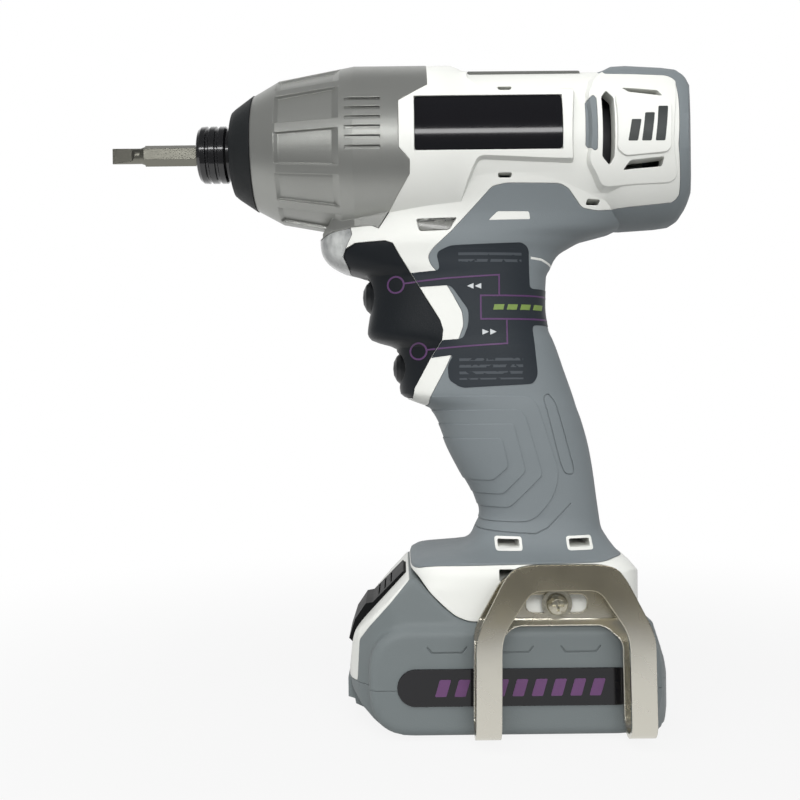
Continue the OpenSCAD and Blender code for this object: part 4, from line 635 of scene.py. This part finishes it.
slate_vinyl = slate.surface(slate_base, slate.noise(0.15, shift=4.0) * 0.1 + 0.42, 0.0,
                            slate.noise(2.0, 3), 0.02, 0.15, Specular_IOR_Level=0.25)
show("handle_decal", decal_form, slate_vinyl, "housing")


def stroke(points, width):
    """A line of even width through the points."""
    sides = [[], []]
    for k, point in enumerate(points):
        ends = [Vector(points[j + 1]) - Vector(points[j]) for j in (k - 1, k) if 0 <= j < len(points) - 1]
        normals = [Vector((-end.y, end.x)).normalized() for end in ends]
        middle = sum(normals, Vector((0, 0))).normalized()
        aside = middle * (width / 2 / max(0.5, middle.dot(normals[0])))
        sides[0].append(tuple(Vector(point) + aside))
        sides[1].append(tuple(Vector(point) - aside))
    return plate(sides[0] + sides[1][::-1])


def joined(shapes):
    """All the shapes as one."""
    whole = shapes[0]
    for shape in shapes[1:]:
        whole = whole + shape
    return whole


def ink(name, red, green, blue):
    """Printed ink, a little uneven in its colour."""
    finish = Finish(name)
    thin = shade(red * 0.93, green * 0.93, blue * 0.93)
    base = finish.mixed(finish.noise(0.6), thin, shade(red, green, blue))
    return finish.surface(base, finish.noise(0.2) * 0.1 + 0.4, 0.0, finish.noise(2.0), 0.01, 0.1)


LINE = 0.55
TAB_LINE = [(-9.0, 143.0), (30, 143.0), (30, 142.45), (-8.45, 142.45), (-8.45, 135.2), (30, 135.2),
            (30, 134.6), (-9.0, 134.6)]
PAD_RINGS = [(-37.0, 146.9), (-29.6, 124.5)]
lines = stroke([(-34.2, 147.2), (-20, 148.6), (-2.5, 149.6), (-2.5, 143.0)], LINE)
lines = lines + stroke([(-26.8, 124.9), (-14, 125.9), (0, 126.7), (0, 134.6)], LINE)
lines = lines + plate(TAB_LINE)
for x, z in PAD_RINGS:
    lines = lines + (along_y(x, z, 3.0, -90, 90) - along_y(x, z, 2.4, -91, 91))
on_grip = grip_form(0.2) - grip_form(0.02)
on_bezel = grip_form(0.08 - BEZEL_SINK) - grip_form(-0.8)
line_form = (lines & on_grip) - beside_bezel
line_form = line_form + (lines & on_bezel & plate(grown(bezel_zone, -0.3)))
show("violet_lines", line_form, ink("violet_ink", 84, 52, 94), "housing")
ARROWS = [(-12.2, 145.9, -1), (-9.6, 145.9, -1), (-7.2, 130.6, 1), (-4.6, 130.6, 1)]
arrows = joined([plate([(x + way * 1.1, z), (x - way * 1.1, z + 0.95), (x - way * 1.1, z - 0.95)])
                 for x, z, way in ARROWS])
show("arrow_marks", arrows & on_grip, ink("pale_ink", 196, 200, 202), "housing")
dashes = joined([plate([(x, 138.0), (x + 3.4, 138.0), (x + 3.9, 139.8), (x + 0.5, 139.8)])
                 for x in (-4.6 + 4.6 * k for k in range(4))])
show("green_dashes", dashes & on_grip, ink("green_ink", 118, 142, 72), "housing")

# Lamp lens under the hammer case, moulded in acrylic with a frosted inner face, and the
# two small smoked windows let into the neck behind it.
frost = Finish("frosted_acrylic")
streak = frost.noise(0.22, 3, (1, 1, 0.5))
frost_base = frost.mixed(streak.ramp(0.3, 0.75), shade(128, 130, 130), shade(186, 188, 186))
frosted = frost.surface(frost_base, frost.noise(0.5, shift=3.0) * 0.2 + 0.2, 0.0, streak, 0.25, 0.5,
                        Coat_Weight=0.5, Coat_Roughness=0.12, IOR=1.49)
lens_form = (grip_form(-0.3) & plate(grown(lens_zone, -0.1))) - grip_form(-2.6)
show("lamp_cover", lens_form, frosted, "housing", ["lamp_lens"])
smoke = Finish("smoked_acrylic")
smoke_base = smoke.mixed(smoke.noise(0.16, 2, (1, 1, 0.4)), shade(78, 79, 74), shade(124, 125, 120))
smoked = smoke.surface(smoke_base, smoke.noise(0.4) * 0.1 + 0.22, 0.0, smoke.noise(0.5), 0.05, 0.3,
                       Coat_Weight=0.4)
window = (grip_form(-0.45) - grip_form(-1.4)) & plate(grown(window_zone, -0.35))
show("neck_windows", window, smoked, "housing")
dress(frosted, "lamp_led")

# Label panels: plain gloss black acrylic, let into both sides of the head against the
# shells' floor. The rear badge plates have three slanted bars printed on each.
gloss = Finish("gloss_black")
gloss_base = gloss.mixed(gloss.noise(0.04), shade(11, 11, 14), shade(15, 15, 19))
gloss_black = gloss.surface(gloss_base, gloss.noise(0.1) * 0.05 + 0.09, 0.0, gloss.noise(0.06), 0.02, 0.4,
                            Specular_IOR_Level=0.3, Coat_Weight=0.3, Coat_Roughness=0.04)
panel_zone = rounded([(-30.4, 188.6), (17.4, 188.6), (17.4, 206.6), (-30.4, 206.6)], 1.4)
panel_form = turned([(-30.4, 28.3), (17.4, 28.3)], 180) & plate(panel_zone)
panel_form = panel_form - turned([(-32, LABEL_FLOOR + 0.05), (19, LABEL_FLOOR + 0.05)])
panel_form = panel_form - block((-32, -15, 180), (19, 15, 215))
show("side_panels", panel_form, gloss_black, "housing", ["label_panels"])
BAR_STEP, BAR_RISE = 4.4, 2.2
bars = []
for k in range(3):
    x, bar_top = 38.2 + BAR_STEP * k, 197.5 + BAR_RISE * k
    bars.append(plate(rounded([(x, 190.6), (x + 3.1, 190.6), (x + 4.3, bar_top), (x + 1.2, bar_top)], 0.4)))
on_badge = turned([(30, 29.56), (56, 29.26)]) - turned([(29, 29.2), (57, 28.9)])
badge_bars = (joined(bars) & on_badge) - block((29, -15, 180), (57, 15, 215))
show("badge_bars", badge_bars, ink("dark_ink", 52, 56, 55), "housing")

# Hammer case: an aluminium casting, bead blasted and painted warm grey, with a rubber
# bumper pressed over its nose. The ribs stay as cast.
cast = Finish("painted_casting")
flake = cast.noise(6.0, 2)
cast_base = cast.mixed(cast.noise(0.04), shade(150, 151, 147), shade(160, 161, 157))
cast_base = cast.mixed(flake.ramp(0.5, 0.75) * 0.35, cast_base, shade(170, 171, 167))
# Painted highlight: the rib edges and corners are painted paler.
cast_base = cast.mixed(cast.edge_highlight(0.6) * 0.5, cast_base, shade(188, 188, 184))
casting = cast.surface(cast_base, cast.noise(0.4, shift=5.0) * 0.1 + 0.32, 0.75, flake, 0.03, 0.5)
dress(casting, "hammer_case")
rub = Finish("nose_rubber")
rubber = rub.surface(rub.mixed(rub.noise(0.1, 3), shade(25, 27, 28), shade(32, 34, 35)),
                     rub.noise(0.3, shift=2.0) * 0.15 + 0.45, 0.0, rub.noise(2.2, 3), 0.06, 0.5,
                     Specular_IOR_Level=0.2)
dress(rubber, "nose_bumper")


def metal(name, red, green, blue, rough, stretch=(1, 1, 1), per_mm=0.8, depth=0.02, spread=10):
    """Bare or plated steel with machining marks along or around the piece."""
    finish = Finish(name)
    mark = finish.noise(per_mm, 4, stretch)
    base = finish.mixed(mark, shade(red - spread, green - spread, blue - spread),
                        shade(red + spread, green + spread, blue + spread))
    return finish.surface(base, mark * 0.16 + (rough - 0.08), 1.0, mark, depth, 0.15)


# Bit and collet: a quarter inch slotted bit in a blackened, chromed sleeve on the anvil.
dress(metal("bit_steel", 128, 127, 118, 0.42, (0.05, 1, 1), 2.0, 0.004, 5), "screwdriver_bit")
chrome = Finish("black_chrome")
# Painted highlight: the sleeve's edges and groove rims are painted a paler grey than its black.
chrome_with_painted_highlight = chrome.mixed(chrome.edge_highlight(0.25), shade(20, 20, 22), shade(92, 92, 94))
black_chrome = chrome.surface(chrome_with_painted_highlight, chrome.noise(0.8, 3, (4, 0.2, 0.2)) * 0.12 + 0.16, 0.35,
                              chrome.noise(1.0, 2, (5, 0.1, 0.1)), 0.01, 0.2,
                              Coat_Weight=0.8, Coat_Roughness=0.06)
dress(black_chrome, "collet_sleeve")

# Battery: an upper and a lower half of soft-touch nylon, parted at 16 mm, a white bezel on
# the front slope round the black latch, and a gloss label on each side with violet bars.


def end_view(outline, x0, x1):
    """An outline of (y, z) pulled along X."""
    return rings_solid([[(x, y, z) for y, z in outline] for x in (x0, x1)])


PARTING, PARTING_GAP = 16, 0.07
battery_side = rounded([
    (44.4, 37), (-14.5, 37), (-19.1, 38.9), (-22.5, 41.6), (-27.1, 46.1), (-31.1, 50.6), (-32.6, 51.0),
    (-34.0, 50.8), (-49.1, 34.7), (-52.4, 30.4), (-54.2, 16.4), (-52.8, 12.5), (-49.0, 8.0), (-43.0, 3.2),
    (-36, 0.4), (-33, 0), (46, 0), (51.4, 2.0), (54.0, 7.6), (54.0, 13), (50.6, 21), (45.6, 33)], 2.2)
half_front = [(25.5, 0), (29.6, 1.3), (32.1, 5.5), (32.3, 10), (32.3, 30), (31.2, 37), (29.6, 57)]
battery_front = rounded([(y, z) for y, z in half_front] + [(-y, z) for y, z in half_front[::-1]], 1.5)
battery_plan = [(-54.4, 8), (-54, 12), (-53.0, 17), (-50.4, 22.4), (-46, 27.2), (-39.6, 30.8), (-30, 32.6),
                (34, 32.6), (41.4, 30.6), (46.4, 26.8), (50.0, 21), (52.4, 14), (53.8, 7)]
field = rounded([(-45.6, 2.4), (45.4, 2.4), (45.4, 34.4), (-45.6, 34.4)], 13, 8)
battery_form = plate(battery_side) & end_view(battery_front, -80, 80) & seen_from_above(battery_plan, -1, 58)
plateau = rings_solid([[(x, -y, z) for x, z in grown(field, by)]
                       for y, by in ((20, 1.2), (32.0, 1.2), (33.4, -0.6))])
battery_form = (battery_form + plateau.mirrored()).through("REMESH", mode="VOXEL", voxel_size=0.8)
battery_form = battery_form.through("SMOOTH", factor=0.5, iterations=5)
bezel_room = plate(rounded([(-31.6, 58.4), (-60, 58.4), (-60, PARTING), (-51, PARTING), (-50.1, 30),
                            (-46.6, 35.2), (-31.5, 53.2)], 1.0))
POCKET_DEPTH, POCKET_HALF = 5.94, 12.3
slope = [(-54.4, 27.7), (-52, 34.4), (-48.4, 39.6), (-46, 40), (-35.3, 50.7)]
pocket = plate([(x - 20, z + 20) for x, z in slope]
               + [(x + POCKET_DEPTH, z - POCKET_DEPTH) for x, z in slope[::-1]], -POCKET_HALF, POCKET_HALF)
above_parting = block((-90, -50, PARTING + PARTING_GAP), (90, 50, 60))
below_parting = block((-90, -50, -5), (90, 50, PARTING - PARTING_GAP))
upper = (battery_form & above_parting) - bezel_room
# The rail runs in the foot's channel. Its three slots take the tool's contact blades
RAIL_TOP, TONGUE_TOP, SLOT_HALF = 44.2, 40.3, 0.8
upper = upper + block((-30, -14, 34), (20, 14, TONGUE_TOP))
upper = upper + block((-30, -16.6, TONGUE_TOP), (20, 16.6, RAIL_TOP))
for y in (-8, 0, 8):
    upper = upper - block((5, y - SLOT_HALF, 39), (31, y + SLOT_HALF, 45.6))
chevrons = joined([stroke([(x - 6.3, 29.8), (x - 4.8, 27.9), (x + 4.8, 27.9), (x + 6.3, 29.8)], 0.5)
                   for x in (-22.0, -1.0, 20.3)])
upper = upper - pocket - (chevrons - block((-60, -32.9, 20), (60, 32.9, 40)))
case_tone = satin("battery_nylon", 104, 111, 112, 0.52, 0.05, 3)
show("pack_upper", upper, case_tone, "battery", ["battery_upper"])
front_steps = plate([(-54.4, 15.3), (-54.4, 8.9), (-52.2, 8.2), (-51.9, 6.5), (-46.2, 3.8), (-45.3, 1.1),
                     (-42, 0.7), (-30, 3), (-30, 15.3)], -14, 14)
lower = (battery_form & below_parting) + front_steps
show("pack_lower", lower, case_tone, "battery", ["battery_lower"])
front_bezel = (battery_form & bezel_room & above_parting) - pocket
show("pack_bezel", front_bezel, white, "battery", ["battery_bezel"])
dress(satin("latch_black", 12, 13, 14, 0.5, 0.03, 2, Specular_IOR_Level=0.12), "battery_latch")
dress(gloss_black, "battery_labels")
LABEL_BAR_STEP, LABEL_FACE = 6.1, -33.8
bars = []
for x in (-26.0 + LABEL_BAR_STEP * k for k in range(9)):
    bars.append(plate(rounded([(x, 14.2), (x + 3.6, 14.2), (x + 5.2, 19.6), (x + 1.6, 19.6)], 0.5),
                      LABEL_FACE - 0.32, LABEL_FACE))
show("label_bars", joined(bars).mirrored(), ink("mauve_ink", 96, 60, 102), "battery")

# Belt hook: a sprung steel strip bent double, nickel plated and polished along its length,
# held by one cross-head screw with a washer.
BEND_Z, HOOK_X = 9.2, 13.6
FRONT_Y, BACK_Y, SEAT_Y = -47.0, -34.6, -31.05
STRIP = 1.6


def arch(*half):
    """An outline that is the same on both sides of the hook's middle."""
    return [(HOOK_X - x, z) for x, z in half] + [(HOOK_X + x, z) for x, z in half[::-1]]


def half_ring(r):
    """The strip's turn under the belt gap as (y, z), from the front layer to the back one."""
    middle, radius = (FRONT_Y + BACK_Y) / 2, (BACK_Y - FRONT_Y) / 2 - r
    return [(middle - radius * math.cos(math.pi * k / 24), BEND_Z - radius * math.sin(math.pi * k / 24))
            for k in range(25)]


strip_front = end_view([(FRONT_Y, 60)] + half_ring(0) + half_ring(STRIP)[::-1] + [(FRONT_Y + STRIP, 60)],
                       -60, 60)
strip_front = strip_front - block((-60, -40.7, BEND_Z), (60, -30, 70))
strip_back = end_view([(BACK_Y - STRIP, BEND_Z - 0.1), (BACK_Y, BEND_Z - 0.1), (BACK_Y, 31.4),
                       (SEAT_Y, 37.4), (SEAT_Y, 60), (SEAT_Y - STRIP, 60), (SEAT_Y - STRIP, 38.2),
                       (BACK_Y - STRIP, 32)], -60, 60)
front_outline = plate(rounded(arch((27.8, -10), (27.2, 34.4), (26.0, 38.4), (18.6, 52.8), (15.8, 56.4),
                                   (10.5, 57.7)), 3.2, 6))
front_gap = plate(rounded(arch((20.0, -12), (19.4, 33.4), (18.2, 37.6), (11.2, 48.2), (8.6, 49.7)), 2.4, 6))
back_outline = plate(rounded(arch((27.8, -10), (27.2, 34.4), (25.4, 38), (18.4, 50), (16, 52)), 3.0, 6))
back_gap = plate(rounded(arch((20.0, -12), (19.5, 31.6), (14.2, 36.2)), 2.4, 6))
slot_gap = plate(rounded([(3.3, 40.1), (22.7, 40.1), (22.7, 45.9), (3.3, 45.9)], 3.0, 6))
hook_form = (strip_front & front_outline) - front_gap
hook_form = hook_form + ((strip_back & back_outline) - back_gap - slot_gap)
nickel = Finish("hook_nickel")
height = nickel.place(Z) * PER_METRE
cloud = nickel.noise(0.09, 3)
sheen = nickel.noise(0.9, 3, (1, 1, 0.1))
# Painted light: the hook is painted paler below about 36 to 56 mm height and a darker, warmer grey above, in
# place of the table's reflection on the lower legs and the shade on the arch.
nickel_with_painted_light = nickel.mixed((height + cloud * 14).ramp(36, 56), shade(210, 207, 196), shade(176, 169, 148))
polished = nickel.surface(nickel_with_painted_light, cloud * 0.16 + 0.18, 1.0, sheen, 0.02, 0.5)
show("belt_clip", hook_form, polished, "housing", ["belt_hook"], 40)
dress(metal("screw_zinc", 186, 182, 166, 0.24, (1, 1, 1), 0.8, 0.03, 12), "hook_screw", "housing_screws")

# Inside: motor, gears, hammer and switch, seen through the rear vents and with the
# battery off. They keep their CAD shapes, each with the finish of its own trade.
dress(metal("tool_steel", 150, 150, 150, 0.36, (1, 0.1, 0.1), 0.7), "anvil", "thrust_washer", "spindle",
      "planet_pins", "hammer", "rotor_shaft")
dress(metal("gear_steel", 142, 141, 138, 0.42, (1, 1, 1), 1.5), "ring_gear", "planet_gear_1", "planet_gear_2",
      "planet_gear_3", "sun_pinion")
dress(metal("spring_steel", 190, 190, 192, 0.25, (1, 1, 1), 1.0), "spindle_bearing", "locking_balls",
      "retaining_ring", "sleeve_spring", "cam_balls", "hammer_spring", "forward_spring", "reverse_spring",
      "latch_spring")
dress(metal("motor_zinc", 150, 151, 152, 0.38, (0.1, 1, 1), 0.8), "motor_can")
dress(metal("winding_copper", 184, 118, 84, 0.34, (0.1, 2, 2), 1.2, 0.1), "armature", "commutator")
dress(metal("insert_brass", 196, 164, 100, 0.34, (1, 1, 1), 1.0), "hook_inserts")
dress(metal("bush_bronze", 160, 130, 88, 0.45, (1, 1, 1), 2.0), "anvil_bush")
dress(satin("inner_black", 46, 46, 48, 0.5, 0.05, 3), "gear_plate", "motor_end_bell", "switch_module",
      "terminal_block", "motor_fan")
dress(satin("ferrite", 60, 60, 63, 0.6, 0.08, 4), "motor_magnets", "motor_brushes")
dress(satin("circuit_board", 32, 96, 60, 0.35, 0.02, 5), "control_board", "battery_board")
dress(satin("cell_wrap", 60, 132, 112, 0.25, 0.02, 5), "battery_cells")
